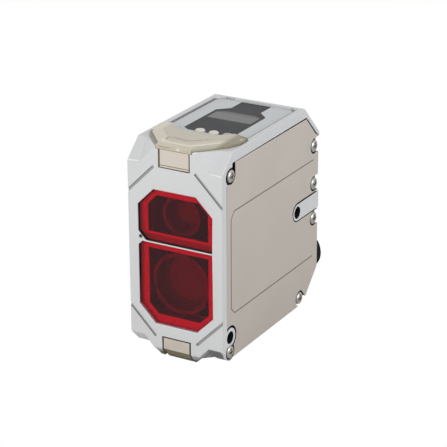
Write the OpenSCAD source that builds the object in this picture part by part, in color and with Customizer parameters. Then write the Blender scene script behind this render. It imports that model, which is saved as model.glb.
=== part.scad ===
// Compact box-shaped laser distance sensor, standing upright.
// X is the width (the screwed side cover faces +X), the two red windows face -Y, +Z is up.
// Origin: on the axis of the lower front mounting hole, at mid-width. Millimetres.
// The modules below measure depth from the front face and height from the base line, which lies
// foot_low above the foot rail's underside; placed() moves each of them into the part's frame.

/* [Body] */
// width of the die-cast case over both sides
body_w = 27.4; // [27:0.1:29]
// depth from the front face to the main rear face
body_d = 52.3; // [52:0.1:54]
// height of the case's top face above the base line
body_h = 57.2; // [57:0.1:59]
// thickness of the case's left, rear and bottom walls
wall = 1.6; // [1.3:0.1:1.7]
// thickness of the front wall, window seats included
front_t = 3.2; // [3:0.1:3.4]
// thickness of the top wall
top_t = 2.1; // [2:0.1:2.2]
// height of the case's bottom face above the base line
foot_h = 1.3; // [1:0.1:1.5]
// how far the foot rail reaches below the base line
foot_low = 0.65; // [0.5:0.05:0.8]
// width of the foot rail and of the central front tabs
tab_w = 10.4; // [10.2:0.1:10.8]
// height of the facets that cut the two upper front corners
facet_h = 4.8; // [4.4:0.1:5]
// depth of the facets that cut the two upper front corners
facet_d = 5.3; // [5:0.1:5.6]
// height of the chamfer behind the lower front corners
arch_h = 3.4; // [3.1:0.1:3.6]
// size of the 45 degree chamfer along the top rear edge
rear_cut_top = 8.8; // [8.4:0.1:9]
// size of the 45 degree chamfer along the bottom rear edge
rear_cut_low = 8.4; // [8:0.1:8.6]
// how far the rear ribs stand behind the main rear face
rib_out = 0.8; // [0.5:0.1:1]
// width of the four diagonal grooves on the front face
groove_w = 0.75; // [0.6:0.05:0.85]
// depth of the four diagonal grooves
groove_t = 0.32; // [0.2:0.02:0.5]

/* [Windows] */
// width of the window opening in the front face
win_w = 21.7; // [21.4:0.1:21.9]
// height of the window opening's lower edge
win_low = 8.6; // [8.5:0.1:8.9]
// height of the rib between the two windows
win_split = 31.1; // [30.6:0.1:31.6]
// distance of the window opening's upper edge from the top face
win_in = 11.7; // [11.4:0.1:12.2]
// size of the cut corners of the window opening
win_cut = 4.7; // [4.4:0.1:4.9]
// depth of the windows' inner face behind the front face
win_t = 1.9; // [1.7:0.1:2]
// how far the windows lie behind the front face
win_sink = 0.45; // [0.3:0.05:0.6]
// clearance round each window
win_play = 0.1; // [0.05:0.01:0.14]
// size of the rib's tooth beside the upper window
tooth = 2.4; // [2:0.1:2.8]
// width of the seat behind the edge of each window
seat_w = 2.1; // [1.9:0.1:2.3]
// height of the rib between the windows
split_h = 0.36; // [0.3:0.02:0.5]

/* [Cover] */
// thickness of the stainless side cover
cover_t = 1; // [0.9:0.1:1.1]
// thickness of the gasket under the cover
gasket_t = 0.4; // [0.3:0.05:0.5]
// distance of the cover's front edge from the front face
cover_front = 2.5; // [2.4:0.1:2.7]
// width of the case's rim above the cover
cover_top_gap = 3; // [2.9:0.1:3.1]
// play between the cover's edge and the case
cover_play = 0.15; // [0.1:0.01:0.2]
// width of the engraved border line on the cover
line_w = 0.3; // [0.2:0.05:0.4]
// depth of the engraved border line
line_t = 0.15; // [0.1:0.05:0.2]
// diameter of the M2 pan heads
head_d = 3.4; // [3.3:0.05:3.5]
// height of the M2 pan heads
head_h = 1; // [0.9:0.05:1.1]
// diameter of the M2 screw shanks
shank_d = 1.96; // [1.9:0.01:1.98]
// length of the M2 screws under the head
shank_l = 5; // [4.5:0.1:5.5]

/* [Mounting holes] */
// diameter of both through holes, clearance for M3
hole_d = 3.4; // [3.3:0.05:3.5]
// distance of the lower front hole from the front face
hole_front_y = 4; // [3.9:0.1:4.1]
// height of the lower front hole
hole_front_z = 7.35; // [7.3:0.05:7.45]
// distance of the rear hole from the main rear face
hole_rear_in = 11.7; // [11.5:0.1:11.9]
// height of the rear hole
hole_rear_z = 29.15; // [28.8:0.05:29.5]

/* [Light guides] */
// thickness of the upper light guide's upright edge
guide_edge = 1.2; // [1.1:0.05:1.3]
// rise of the upper light guide's bevel
guide_rise = 0.6; // [0.5:0.05:0.7]
// width of the upper guide's front tab
guide_w = 9; // [8.8:0.1:9.2]
// height of the upper guide's front tab
guide_tab_h = 5.4; // [5.2:0.1:5.6]
// width of the lower guide
low_guide_w = 8.2; // [8:0.1:8.4]
// height of the lower guide on the front face
low_guide_h = 5.1; // [4.9:0.1:5.2]
// thickness of both guides behind the front face
guide_t = 2.3; // [2.1:0.1:2.4]
// height at which the slope under the lower guide starts
tab_cut = 1.85; // [1.6:0.05:2]
// depth of that slope
tab_in = 1.45; // [1.3:0.05:1.6]

/* [Control panel] */
// width of the control panel's sheet
panel_w = 24; // [23.6:0.1:24.2]
// distance of the panel's recess from the main rear face
panel_in = 9.1; // [9:0.1:9.4]
// how far the sheet lies below the top face
panel_sink = 0.5; // [0.4:0.05:0.6]
// thickness of the sheet
panel_t = 0.4; // [0.3:0.05:0.5]
// width of the black display mask
mask_w = 14.9; // [14.6:0.1:15.2]
// distance of the mask's front edge from the front face
mask_front = 16.3; // [16:0.1:16.6]
// width of the display's window
screen_w = 12.9; // [12.6:0.1:13.1]
// length of the display's window
screen_l = 6.5; // [6.2:0.1:6.8]

/* [Buttons] */
// diameter of the round button caps
button_d = 2.7; // [2.5:0.05:3]
// how far the caps stand above the sheet
button_out = 0.5; // [0.45:0.05:0.7]
// running clearance round each cap
button_play = 0.08; // [0.05:0.01:0.1]
// distance between neighbouring buttons
button_pitch = 4; // [3.8:0.05:4.2]
// distance of the button row from the front face
button_y = 16.6; // [16.4:0.1:16.8]
// sideways position of the middle button
button_x = 1.9; // [1.7:0.1:2.1]

/* [Optics] */
// outer diameter of the receiver barrel
rx_d = 16.8; // [16.4:0.1:17]
// outer diameter of the emitter barrel
tx_d = 11; // [10.6:0.1:11.4]
// length of the emitter barrel
tx_l = 17.4; // [17:0.1:18]
// distance of the image sensor's board from the front face
sensor_y = 33; // [32:0.5:34]

/* [Boards] */
// thickness of the main board
board_t = 1.4; // [1.2:0.1:1.6]
// thickness of the smaller boards
small_board_t = 1; // [0.8:0.1:1.1]
// height of the studs that carry the main board on the left wall
stud_l = 2.5; // [2.3:0.1:2.7]
// height of the studs that carry the display's board under the top wall
hang_l = 2.7; // [2.6:0.1:2.8]

/* [Connector] */
// outer diameter of the M12 threaded shell
thread_d = 11.8; // [11.7:0.05:11.9]
// length of the threaded shell behind its flange
thread_l = 12.2; // [11.5:0.1:12.5]
// sideways position of the connector's axis
con_x = 2; // [1.8:0.1:2.2]
// height of the connector's axis
con_z = 6.9; // [6.8:0.1:7]
// diameter of the cast boss that carries the connector
boss_d = 13.2; // [13:0.1:13.4]
// pitch of the thread
pitch = 1; // [1:0.25:1.5]
// diameter of the contact carrier inside the shell
carrier_d = 8.4; // [8.2:0.05:8.5]
// length of the shell's spigot inside the case
spigot_l = 9.5; // [9:0.1:10]
// diameter of the circle on which the four pins stand
pin_circle = 5.2; // [5:0.05:5.3]
// diameter of a contact pin
pin_d = 1; // [0.9:0.02:1]

/* [Hidden] */
$fn = 64;

hx = body_w / 2;
rear_y = body_d + rib_out;
hole_r = hole_d / 2;
hole_rear_y = body_d - hole_rear_in;
rim_x = hx - cover_t - gasket_t;
ear_t = 0.4;
ear_x = hx - cover_t + ear_t;
left_x = -hx + wall;
inner_y = front_t;
cell_y = inner_y + 0.5;
panel_rear = body_d - panel_in;
screen_y = mask_front + 11.3;
screen_rear = screen_y + screen_l;
main_x = left_x + stud_l;
cell_x = main_x + board_t;
floor_z = foot_h + wall;
ceil_z = body_h - top_t;
cover_top = body_h - cover_top_gap;
cover_rear = body_d + 0.2;
win_hw = win_w / 2;
win_top = body_h - win_in;
rx_z = (win_low + win_split) / 2;
tx_z = (win_split + win_top) / 2;
gap = 0.1;
ring_r = hole_r + 0.7;
head_r = head_d / 2;
nest_r = head_r + 0.35;
boss_r = nest_r + 0.2;
tongue_h = 4.6;

// sideways positions of the three buttons
BUTTONS = [button_x - button_pitch, button_x, button_x + button_pitch];

// screw centres on the cover, as [y, z]
s_front_top = [4.7, body_h - 6.15];
s_front_low = [hole_front_y, hole_front_z - 4.05];
s_rear_top = [body_d - 2.2, body_h - 12.05];
s_rear_upper = [body_d - 2.1, hole_rear_z + 5.2];
s_rear_mid = [body_d - 2.1, hole_rear_z - 4.8];
s_rear_low = [body_d - 9.9, foot_h + 2.2];
SCREWS = [s_front_top, s_front_low, s_rear_top, s_rear_upper, s_rear_mid, s_rear_low];

// extrusions along the three axes: a [y, z] outline along X, an [x, z] one along Y, [x, y] along Z
module along_x(x0, x1) {
  translate([x0, 0, 0]) rotate([90, 0, 90]) linear_extrude(height = x1 - x0) children();
}
module along_y(y0, y1) {
  translate([0, y1, 0]) rotate([90, 0, 0]) linear_extrude(height = y1 - y0) children();
}
module along_z(z0, z1) {
  translate([0, 0, z0]) linear_extrude(height = z1 - z0) children();
}
module rod_x(x0, x1, y, z, r) {
  translate([x0, y, z]) rotate([0, 90, 0]) cylinder(h = x1 - x0, r = r);
}
module rod_y(y0, y1, x, z, r) {
  translate([x, y0, z]) rotate([-90, 0, 0]) cylinder(h = y1 - y0, r = r);
}
module rod_z(z0, z1, x, y, r) {
  translate([x, y, z0]) cylinder(h = z1 - z0, r = r);
}
module box(x0, x1, y0, y1, z0, z1) {
  translate([x0, y0, z0]) cube([x1 - x0, y1 - y0, z1 - z0]);
}
// a block whose flat face lies on point p and looks against the direction n
module beyond(p, n) {
  translate(p) rotate([0, acos(n[2] / norm(n)), atan2(n[1], n[0])])
    translate([-25, -25, 0]) cube([50, 50, 25]);
}

// the upper front corner of one side: what lies outside both of its facets
module corner_top() {
  a = [tab_w / 2, 0, body_h];
  b = [tab_w / 2 + 4.9, 0, body_h - facet_h];
  c = [tab_w / 2 + 6, facet_d, body_h];
  intersection() {
    beyond(a, cross(b - a, c - a));
    beyond(b, [0, -facet_h, facet_d]);
  }
}
// the lower front corner of one side, with its arch
module corner_low() {
  a = [tab_w / 2, 0, 0];
  b = [tab_w / 2 + 4.4, 0, foot_h + arch_h];
  c = [tab_w / 2 + 4.8, arch_h, foot_h];
  intersection() {
    beyond(a, cross(c - a, b - a));
    beyond(b, [0, -1, -1]);
  }
}
// what the slope under the lower guide cuts off, g behind the front face
module tab_slope(g) {
  beyond([0, g, tab_cut], [0, -tab_cut - foot_low, -tab_in]);
}
module groove(x0, z0, x1, z1) {
  dx = x1 - x0;
  dz = z1 - z0;
  translate([x0, 0, z0]) rotate([0, -atan2(dz, dx), 0])
    translate([0, -1, -groove_w / 2]) cube([sqrt(dx * dx + dz * dz) + 0.6, 1 + groove_t, groove_w]);
}

// outline of the window opening, grown by g
module opening(g) {
  polygon([[-win_hw + win_cut, win_top + g], [win_hw - win_cut, win_top + g],
    [win_hw + g, win_top - win_cut], [win_hw + g, win_low + win_cut], [win_hw - win_cut, win_low - g],
    [-win_hw + win_cut, win_low - g], [-win_hw - g, win_low + win_cut],
    [-win_hw - g, win_top - win_cut]]);
}
module upper_outline(g) {
  z0 = win_split + split_h / 2 + g;
  polygon([[-win_hw + win_cut, win_top - g], [win_hw - win_cut, win_top - g],
    [win_hw - g, win_top - win_cut], [win_hw - g, z0], [-win_hw + tooth - 0.1 + g, z0],
    [-win_hw + g, z0 + tooth], [-win_hw + g, win_top - win_cut]]);
}
module lower_outline(g) {
  z1 = win_split - split_h / 2 - g;
  polygon([[-win_hw + win_cut, win_low + g], [win_hw - win_cut, win_low + g],
    [win_hw - g, win_low + win_cut], [win_hw - g, z1], [-win_hw + 1.3 + g, z1],
    [-win_hw + g, z1 - 1.2], [-win_hw + g, win_low + win_cut]]);
}

// plan outline of the upper light guide, grown by g
module chevron(g) {
  half = [[tab_w / 2 + g, 0], [11.35 + g, 7 - g / 2], [12.75 + g, 11], [12.75 + g, 14.9 + g],
    [9.4, 15.5 + g], [5.4, 11.7 + g]];
  polygon([half[0], half[1], half[2], half[3], half[4], half[5],
    [-half[5][0], half[5][1]], [-half[4][0], half[4][1]], [-half[3][0], half[3][1]],
    [-half[2][0], half[2][1]], [-half[1][0], half[1][1]], [-half[0][0], half[0][1]]]);
}
module chevron_centre_low() {
  polygon([[-5.2, 0], [5.2, 0], [5.4, 11.7], [-5.4, 11.7]]);
}
module chevron_centre_high() {
  polygon([[-2.8, 3.1], [2.8, 3.1], [5.3, 11.3], [-5.3, 11.3]]);
}
module chevron_wing_low() {
  polygon([[5.2, 0], [11.35, 7], [12.75, 11], [12.75, 14.9], [9.4, 15.5], [5.4, 11.7]]);
}
module chevron_wing_high() {
  polygon([[2.8, 3.1], [8.9, 9.8], [9.2, 14.9], [5.3, 11.3]]);
}

// outline of the control panel's recess, shrunk by g
module panel_outline(g) {
  w = panel_w / 2 - g;
  r = panel_rear - g;
  polygon([[-w, 9], [w, 9], [w, r - 2], [w - 1.8, r], [-w + 1.8, r], [-w, r - 2]]);
}
module mask_outline(g) {
  w = mask_w / 2 - g;
  r = panel_rear - 0.4;
  n = screen_rear - g;
  polygon([[-w, mask_front + 1.3 + g], [-w + 1.85, mask_front + g], [w - 1.85, mask_front + g],
    [w, mask_front + 1.3 + g], [w, n], [w - 3, n + 2.9], [w - 3, r], [-w + 3, r], [-w + 3, n + 2.9],
    [-w, n]]);
}
// the row of round button holes, grown by g
module button_holes(g) {
  for (x = BUTTONS) translate([x, button_y]) circle(r = button_d / 2 + g);
}
module screen_outline(g) {
  w = screen_w / 2 - g;
  y1 = screen_rear - g;
  polygon([[-w, screen_y + g], [w, screen_y + g], [w, y1 - 1.4], [w - 2.2, y1], [-w + 2.2, y1], [-w, y1 - 1.4]]);
}

// outline of the side cover, grown by g
module cover_outline(g) {
  f = cover_front - g;
  t = cover_top + g;
  b = foot_h - g;
  r = cover_rear;
  ct = rear_cut_top - 3 + 2 * g;
  k = body_d - 7.1 + 1.6 * g;
  polygon([[f, 9.4 - g], [f, body_h - 8.3], [6.9 - g, body_h - 6.6], [6.2 - 3 * g, t],
    [k, t], [k + ct, t - ct], [r, t - ct - 0.9 + 2 * g],
    [r, b + rear_cut_low - 0.3], [r - rear_cut_low + 0.3, b], [5.6 - g, b], [5.6 - g, 5]]);
}
module at_screws(r) {
  for (s = SCREWS) translate(s) circle(r = r);
}
// notch behind the upper front screw, from its nest up to the rim over the cover
module front_notch() {
  translate([s_front_top[0] - 0.45, s_front_top[1]]) circle(r = nest_r + 0.2);
  polygon([[5, s_front_top[1]], [6.7, s_front_top[1]], [6.2, cover_top + cover_play],
    [5.4, cover_top + cover_play]]);
}
// round nests of the screw heads; those at the rear and low edges are open to the edge
module nests(g) {
  r = nest_r + g;
  at_screws(r);
  for (s = [s_rear_top, s_rear_upper, s_rear_mid]) translate([s[0], s[1] - r]) square([6, 2 * r]);
  translate(s_rear_low) rotate(-45) translate([0, -r]) square([6, 2 * r]);
}
// what the thin ears under the screw heads cover
module ears() {
  intersection() {
    nests(0);
    cover_outline(-0.6);
    square([cover_rear - 0.6, body_h]);
  }
  translate(s_front_top) circle(r = nest_r);
  translate(s_front_low) circle(r = nest_r);
}
// slot outline round the rear mounting tongue
module tongue_outline(g) {
  translate([hole_rear_y, hole_rear_z]) circle(r = tongue_h / 2 + g);
  translate([hole_rear_y, hole_rear_z - tongue_h / 2 - g]) square([30, tongue_h + 2 * g]);
}
// outline of the case's inside behind the cover, grown by g
module cavity_outline(g) {
  r = body_d - 4.7;
  t = cover_top - 1.6;
  f = hole_front_z + 3.45;
  polygon([[cell_y - g, f + 0.8 - g], [7.9 - g, f - g], [7.9 - g, floor_z - g],
    [r - 8.9, floor_z - g], [r + g, floor_z + 8.9 - g], [r + g, t - 4.4], [r - 4.4, t + g],
    [9.2 - g, t + g], [9.2 - g, t - 5.2 + g], [cell_y - g, t - 5.6 + g]]);
}

module shell() {
  difference() {
    union() {
      along_x(-hx, hx) polygon([[0, foot_h + 0.02], [0, body_h], [body_d - 7.9, body_h],
        [rear_y, body_h - rear_cut_top], [rear_y, body_h - rear_cut_top - 1.2],
        [body_d, body_h - rear_cut_top - 1.6], [body_d, foot_h + rear_cut_low],
        [body_d - rear_cut_low, foot_h], [0, foot_h]]);
      along_y(0, body_d - 10) polygon([[-tab_w / 2, -foot_low], [tab_w / 2, -foot_low],
        [tab_w / 2 + foot_h, foot_h], [tab_w / 2 + foot_h, foot_h + 0.5],
        [-tab_w / 2 - foot_h, foot_h + 0.5], [-tab_w / 2 - foot_h, foot_h]]);
      rod_y(body_d - 12, rear_y + 0.3, con_x, con_z, boss_d / 2);
      box(-hx, hx, body_d - 2, rear_y, hole_rear_z - tongue_h / 2, hole_rear_z + tongue_h / 2);
    }
    corner_top();
    mirror([1, 0, 0]) corner_top();
    corner_low();
    mirror([1, 0, 0]) corner_low();
    tab_slope(0);
  }
}

module cavity() {
  along_x(left_x, rim_x + 5) cavity_outline(0);
  along_x(left_x, hx - 10.5) polygon([[9.2, floor_z], [body_d - 12.5, floor_z],
    [body_d - wall, floor_z + 13.1], [body_d - wall, ceil_z - 10.5], [body_d - 7.6, ceil_z],
    [9.2, ceil_z]]);
  along_x(left_x, hx - 2.7) polygon([[4.2, ceil_z - 6.1], [body_d - 8.6, ceil_z - 6.1],
    [body_d - 8.6, ceil_z], [4.2, ceil_z]]);
}

module housing() {
  color([0.84, 0.84, 0.85]) difference() {
    union() {
      difference() {
        shell();
        cavity();
      }
      // mounting columns and the tongue's base across the inside
      rod_x(left_x - 0.5, rim_x, hole_front_y, hole_front_z, ring_r + 0.3);
      rod_x(left_x - 0.5, hx, hole_rear_y, hole_rear_z, tongue_h / 2);
      box(hx - 4.7, hx, hole_rear_y, body_d - 3, hole_rear_z - tongue_h / 2, hole_rear_z + tongue_h / 2);
      along_x(hx - 4.7, rim_x) intersection() {
        tongue_outline(1.1);
        square([body_d - 3, body_h]);
      }
      // bosses for the boards on the left wall and under the top wall
      for (p = [[14.4, 8.5], [14.4, ceil_z - 9.6], [body_d - 8, ceil_z - 11.1]])
        rod_x(left_x - 0.5, main_x, p[0], p[1], 1.5);
      for (x = [3 - panel_w / 2, panel_w / 2 - 3]) for (y = [button_y - 1.8, body_d - 12.1])
        rod_z(ceil_z - hang_l, ceil_z + 0.5, x, y, 1.2);
      // bosses of the cover screws; the lower front one stands out into the corner's arch
      along_x(rim_x - 6, rim_x) intersection() {
        at_screws(boss_r);
        translate([cover_front, foot_h]) square([body_d - 0.5 - cover_front, body_h - foot_h]);
      }
      rod_x(hx - 3.2, hx, s_front_low[0], s_front_low[1], boss_r + 0.1);
    }
    // windows: recess for the acrylic, then the two optical openings with their seats
    along_y(-1, win_t + 0.05) difference() {
      opening(0);
      translate([-win_hw - 1, win_split - split_h / 2]) square([win_w + 2, split_h]);
      polygon([[-win_hw - 1, win_split + split_h / 2 + tooth + 1.04], [-win_hw - 1, win_split - 2.4],
        [-win_hw + 1.3, win_split - split_h / 2], [-win_hw + tooth - 0.1, win_split + split_h / 2]]);
    }
    rod_y(-1, 0.5, 0.55 - win_hw, win_split + 1, 0.35);
    along_y(win_t - 0.5, inner_y + 2) intersection() {
      opening(-seat_w);
      union() {
        translate([-12, win_split + split_h / 2 + seat_w]) square([24, 20]);
        translate([-12, 0]) square([24, win_split - split_h / 2 - seat_w]);
      }
    }
    groove(6, body_h - 5.45, hx, body_h - 13.15);
    mirror([1, 0, 0]) groove(6, body_h - 5.45, hx, body_h - 13.15);
    groove(6.1, 5.05, hx, 12.65);
    mirror([1, 0, 0]) groove(6.1, 5.05, hx, 12.65);
    // upper light guide: seat in the top face, tab slot in the front face, light holes
    along_z(body_h - guide_edge + guide_rise, body_h + 1) chevron(gap);
    box(-guide_w / 2 - gap, guide_w / 2 + gap, -1, guide_t + gap, body_h - guide_tab_h - gap, body_h + 1);
    box(-3.6, 3.6, 5.6, 9, ceil_z - 1, body_h);
    // lower light guide: slot open to the front and below, and its light hole
    box(-low_guide_w / 2 - gap, low_guide_w / 2 + gap, -1, guide_t + gap, -foot_low - 1, low_guide_h + gap);
    box(-1.5, 1.5, guide_t, 8, floor_z - 0.8, floor_z + 1.2);
    // control panel: recess, display opening and button holes
    along_z(body_h - panel_sink - panel_t, body_h + 1) panel_outline(0);
    along_z(ceil_z - 1, body_h) screen_outline(-0.3);
    along_z(ceil_z - 1, body_h) button_holes(button_play);
    // small slots at the panel's two rear corners
    along_z(body_h - panel_sink - panel_t, body_h + 1) {
      translate([panel_w / 2 - 0.9, panel_rear - 1]) rotate(-48) translate([-1.2, -0.1]) square([2.4, 0.6]);
    }
    along_z(body_h - panel_sink - panel_t - 0.6, body_h + 1) {
      translate([2.9 - panel_w / 2, panel_rear]) circle(r = 0.55);
      translate([2.9 - panel_w / 2, panel_rear - 0.55]) square([1.6, 1.1]);
      translate([4.5 - panel_w / 2, panel_rear]) circle(r = 0.55);
    }
    // cover recess with the screw nests, open at the edge of the case
    difference() {
      along_x(rim_x, hx + 1) difference() {
        union() {
          cover_outline(cover_play);
          nests(0.2);
          translate([cover_rear - 3, foot_h + rear_cut_low]) square([6, body_h - rear_cut_top - foot_h
            - rear_cut_low - 1.5]);
        }
        difference() {
          translate([hole_front_y, hole_front_z]) circle(r = ring_r + 0.2);
          translate(s_front_low) circle(r = head_r + 0.15);
        }
        tongue_outline(0);
      }
      box(0, rim_x, -1, body_d + 5, -1, body_h + 5);
    }
    along_x(hx - 1.9, hx + 1) front_notch();
    // bores: mounting holes, cover screws, connector
    rod_x(-hx - 1, hx + 1, hole_front_y, hole_front_z, hole_r);
    rod_x(-hx - 1, hx + 1, hole_rear_y, hole_rear_z, hole_r);
    for (s = SCREWS) rod_x(ear_x - shank_l - 0.4, hx, s[0], s[1], shank_d / 2 + 0.02);
    rod_y(body_d - 14, rear_y + 1, con_x, con_z, carrier_d / 2 + 0.45);
  }
}

// outline of the cover's engraved border, shrunk by g; it runs out at the rear
module border(g) {
  f = cover_front + 1.95 + g;
  r = cover_rear - 2.9 + g / 3;
  b = foot_h + 12 + g;
  t = body_h - 15.7 - g;
  polygon([[f, b + 1.8 - 0.7 * g], [f + 1.85 - 0.7 * g, b], [r, b], [r, t], [f + 1.65 - 0.7 * g, t],
    [f, t - 2 + 0.7 * g]]);
}

module side_cover() {
  color([0.7, 0.67, 0.65]) difference() {
    union() {
      along_x(hx - cover_t, hx) difference() {
        cover_outline(0);
        nests(0);
      }
      along_x(hx - cover_t, ear_x) ears();
    }
    along_x(hx - cover_t - 1, hx + 1) {
      translate([hole_front_y, hole_front_z]) circle(r = ring_r + 0.65);
      tongue_outline(0.3);
      at_screws(shank_d / 2 + 0.12);
    }
    // engraved border: two long lines joined by an upright one with cut corners
    along_x(hx - line_t, hx + 1) difference() {
      border(0);
      border(line_w);
    }
  }
}

module cover_gasket() {
  color([0.12, 0.12, 0.12]) along_x(rim_x, rim_x + gasket_t) difference() {
    union() {
      cavity_outline(0.75);
      intersection() {
        tongue_outline(1.05);
        square([body_d - 4, body_h]);
      }
    }
    difference() {
      cavity_outline(0.05);
      intersection() {
        tongue_outline(1.05);
        square([body_d - 4, body_h]);
      }
    }
    tongue_outline(0.1);
    translate([hole_front_y, hole_front_z]) circle(r = ring_r + 0.4);
    at_screws(nest_r + 0.1);
  }
}

module cover_screw(s) {
  color([0.8, 0.79, 0.77]) translate([ear_x, s[0], s[1]]) rotate([0, 90, 0]) difference() {
    union() {
      rotate_extrude() polygon([[0, 0], [head_r, 0], [head_r, head_h * 0.45], [head_r * 0.9, head_h * 0.78],
        [head_r * 0.66, head_h], [0, head_h]]);
      translate([0, 0, -shank_l]) cylinder(h = shank_l + 0.1, r = shank_d / 2);
    }
    for (a = [45, 135]) rotate([0, 0, a]) translate([-0.95, -0.21, head_h - 0.6]) cube([1.9, 0.42, 1]);
  }
}

module window_upper() {
  color([0.6, 0.02, 0.08]) along_y(win_sink, win_t + 0.05) upper_outline(win_play);
}
module window_lower() {
  color([0.6, 0.02, 0.08]) along_y(win_sink, win_t + 0.05) lower_outline(win_play);
}

module light_guide_top() {
  z0 = body_h - guide_edge + guide_rise;
  z1 = body_h + guide_rise;
  color([0.85, 0.82, 0.72]) union() {
    along_z(z0, z1) chevron(0);
    hull() {
      along_z(z1 - 0.2, z1) chevron_centre_low();
      along_z(z1 + guide_rise - 0.05, z1 + guide_rise) chevron_centre_high();
    }
    hull() {
      along_z(z1 - 0.2, z1) chevron_wing_low();
      along_z(z1 + guide_rise - 0.05, z1 + guide_rise) chevron_wing_high();
    }
    mirror([1, 0, 0]) hull() {
      along_z(z1 - 0.2, z1) chevron_wing_low();
      along_z(z1 + guide_rise - 0.05, z1 + guide_rise) chevron_wing_high();
    }
    box(-guide_w / 2, guide_w / 2, 0.05, guide_t, body_h - guide_tab_h, z0 + 0.3);
  }
}
module light_guide_low() {
  w = low_guide_w / 2;
  color([0.82, 0.78, 0.68]) difference() {
    box(-w, w, 0.05, guide_t + gap, -foot_low, low_guide_h);
    tab_slope(0.05);
    // the lower left corner is cut off, seen from the front
    beyond([-w, 0, 0.95], [-1.55, 0, -1]);
  }
}

module control_panel() {
  z1 = body_h - panel_sink;
  color([0.8, 0.81, 0.83]) along_z(z1 - panel_t, z1) difference() {
    panel_outline(0.12);
    mask_outline(0);
    chevron(gap + 0.1);
    button_holes(button_play);
  }
}
module display_mask() {
  z1 = body_h - panel_sink;
  color([0.18, 0.19, 0.2]) along_z(z1 - panel_t, z1) difference() {
    mask_outline(0);
    screen_outline(0);
    button_holes(button_play);
  }
}
module display_window() {
  z1 = body_h - panel_sink;
  color([0.52, 0.51, 0.51]) along_z(z1 - panel_t, z1) screen_outline(0);
}
module display_module() {
  color([0.1, 0.1, 0.12]) along_z(ceil_z - hang_l, body_h - panel_sink - panel_t - 0.3)
    screen_outline(0.1);
}

module button(x) {
  z1 = body_h - panel_sink + button_out;
  rod_z(ceil_z - 0.3, z1 - 0.3, x, button_y, button_d / 2);
  translate([x, button_y, z1 - 0.3]) cylinder(h = 0.3, r1 = button_d / 2, r2 = button_d / 2 - 0.25);
  rod_z(ceil_z - 0.8, ceil_z, x, button_y, button_d / 2 + 0.25);
}
module button_left() {
  color([0.9, 0.9, 0.9]) button(BUTTONS[0]);
}
module button_middle() {
  color([0.9, 0.9, 0.9]) button(BUTTONS[1]);
}
module button_right() {
  color([0.65, 0.65, 0.64]) button(BUTTONS[2]);
}
module button_switches() {
  color([0.2, 0.2, 0.2]) for (x = BUTTONS) {
    box(x - 1.5, x + 1.5, button_y - 1.5, button_y + 1.5, ceil_z - hang_l, ceil_z - 1.7);
    rod_z(ceil_z - 1.8, ceil_z - 1.25, x, button_y, 0.8);
  }
}
module display_board() {
  color([0.05, 0.3, 0.15]) box(1.7 - panel_w / 2, panel_w / 2 - 1.7, button_y - 3.2,
    body_d - 10.7, ceil_z - hang_l - small_board_t, ceil_z - hang_l);
}
module main_board() {
  z0 = floor_z + 2.1;
  color([0.05, 0.3, 0.15]) along_x(main_x, cell_x) difference() {
    translate([cell_y + 8.9, z0]) square([body_d - cell_y - 14.9, ceil_z - 6.9 - z0]);
    translate([hole_rear_y, hole_rear_z]) circle(r = tongue_h / 2 + 0.5);
    translate([body_d - 15, 3]) square([12, 11.5]);
  }
}
module sensor_board() {
  color([0.05, 0.3, 0.15]) box(cell_x, 8, sensor_y, sensor_y + small_board_t,
    rx_z - rx_d / 2 + 0.4, rx_z + rx_d / 2 - 0.4);
}
module image_sensor() {
  color([0.12, 0.12, 0.13]) box(-6, 6, sensor_y - 1.6, sensor_y, rx_z - 4, rx_z + 4);
}
module receiver_lens() {
  color([0.8, 0.85, 0.9]) rod_y(inner_y + 3, inner_y + 5.4, 0, rx_z, rx_d / 2 - 1.3);
}
module receiver_barrel() {
  r = rx_d / 2;
  l = sensor_y - 1.6 - inner_y;
  color([0.1, 0.1, 0.1]) translate([0, inner_y, rx_z]) rotate([-90, 0, 0]) rotate_extrude() polygon([
    [r - 1, 0], [r, 0], [r, 9], [r - 1.6, 11], [r - 1.6, l], [r - 2.8, l], [r - 2.8, 11.6],
    [r - 2.2, 9.4], [r - 2.2, 5.4], [r - 1.3, 5.4], [r - 1.3, 2]]);
}
module emitter_barrel() {
  r = tx_d / 2;
  l = tx_l;
  color([0.15, 0.15, 0.16]) translate([0, cell_y, tx_z]) rotate([-90, 0, 0]) rotate_extrude() polygon([
    [r - 0.9, 0], [r, 0], [r, l], [2.85, l], [2.85, l - 1.5], [2.2, l - 1.5], [2.2, l - 5.4],
    [3.4, l - 5.4], [3.4, 5], [r - 1.3, 5], [r - 1.3, 1.5]]);
}
module emitter_lens() {
  color([0.8, 0.85, 0.9]) rod_y(cell_y + 2.8, cell_y + 5, 0, tx_z, tx_d / 2 - 1.3);
}
module laser_diode() {
  y0 = cell_y + tx_l - 1.5;
  color([0.75, 0.65, 0.4]) {
    rod_y(y0 - 2.6, y0 + 0.1, 0, tx_z, 1.9);
    rod_y(y0, y0 + 1.5, 0, tx_z, 2.8);
    for (a = [0, 120, 240]) rod_y(y0 + 1.4, y0 + 3.8, 1.2 * cos(a), tx_z + 1.2 * sin(a), 0.22);
  }
}
module laser_board() {
  y0 = cell_y + tx_l;
  color([0.05, 0.3, 0.15]) difference() {
    box(cell_x, 6, y0, y0 + small_board_t, tx_z - 5, tx_z + 5);
    for (a = [0, 120, 240]) rod_y(y0 - 1, y0 + 2, 1.2 * cos(a), tx_z + 1.2 * sin(a), 0.24);
  }
}
module top_led_board() {
  color([0.05, 0.3, 0.15]) box(-4.6, 4.6, 4.7, 10.4, ceil_z - 0.9, ceil_z);
}
module top_leds() {
  color([0.95, 0.93, 0.8]) for (x = [-2.4, 0, 2.4]) box(x - 0.8, x + 0.8, 6.5, 8.1, ceil_z, ceil_z + 0.7);
}
module low_led_board() {
  color([0.05, 0.3, 0.15]) box(-4, 4, 7.9, 8.8, floor_z, floor_z + 4.4);
}
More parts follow.
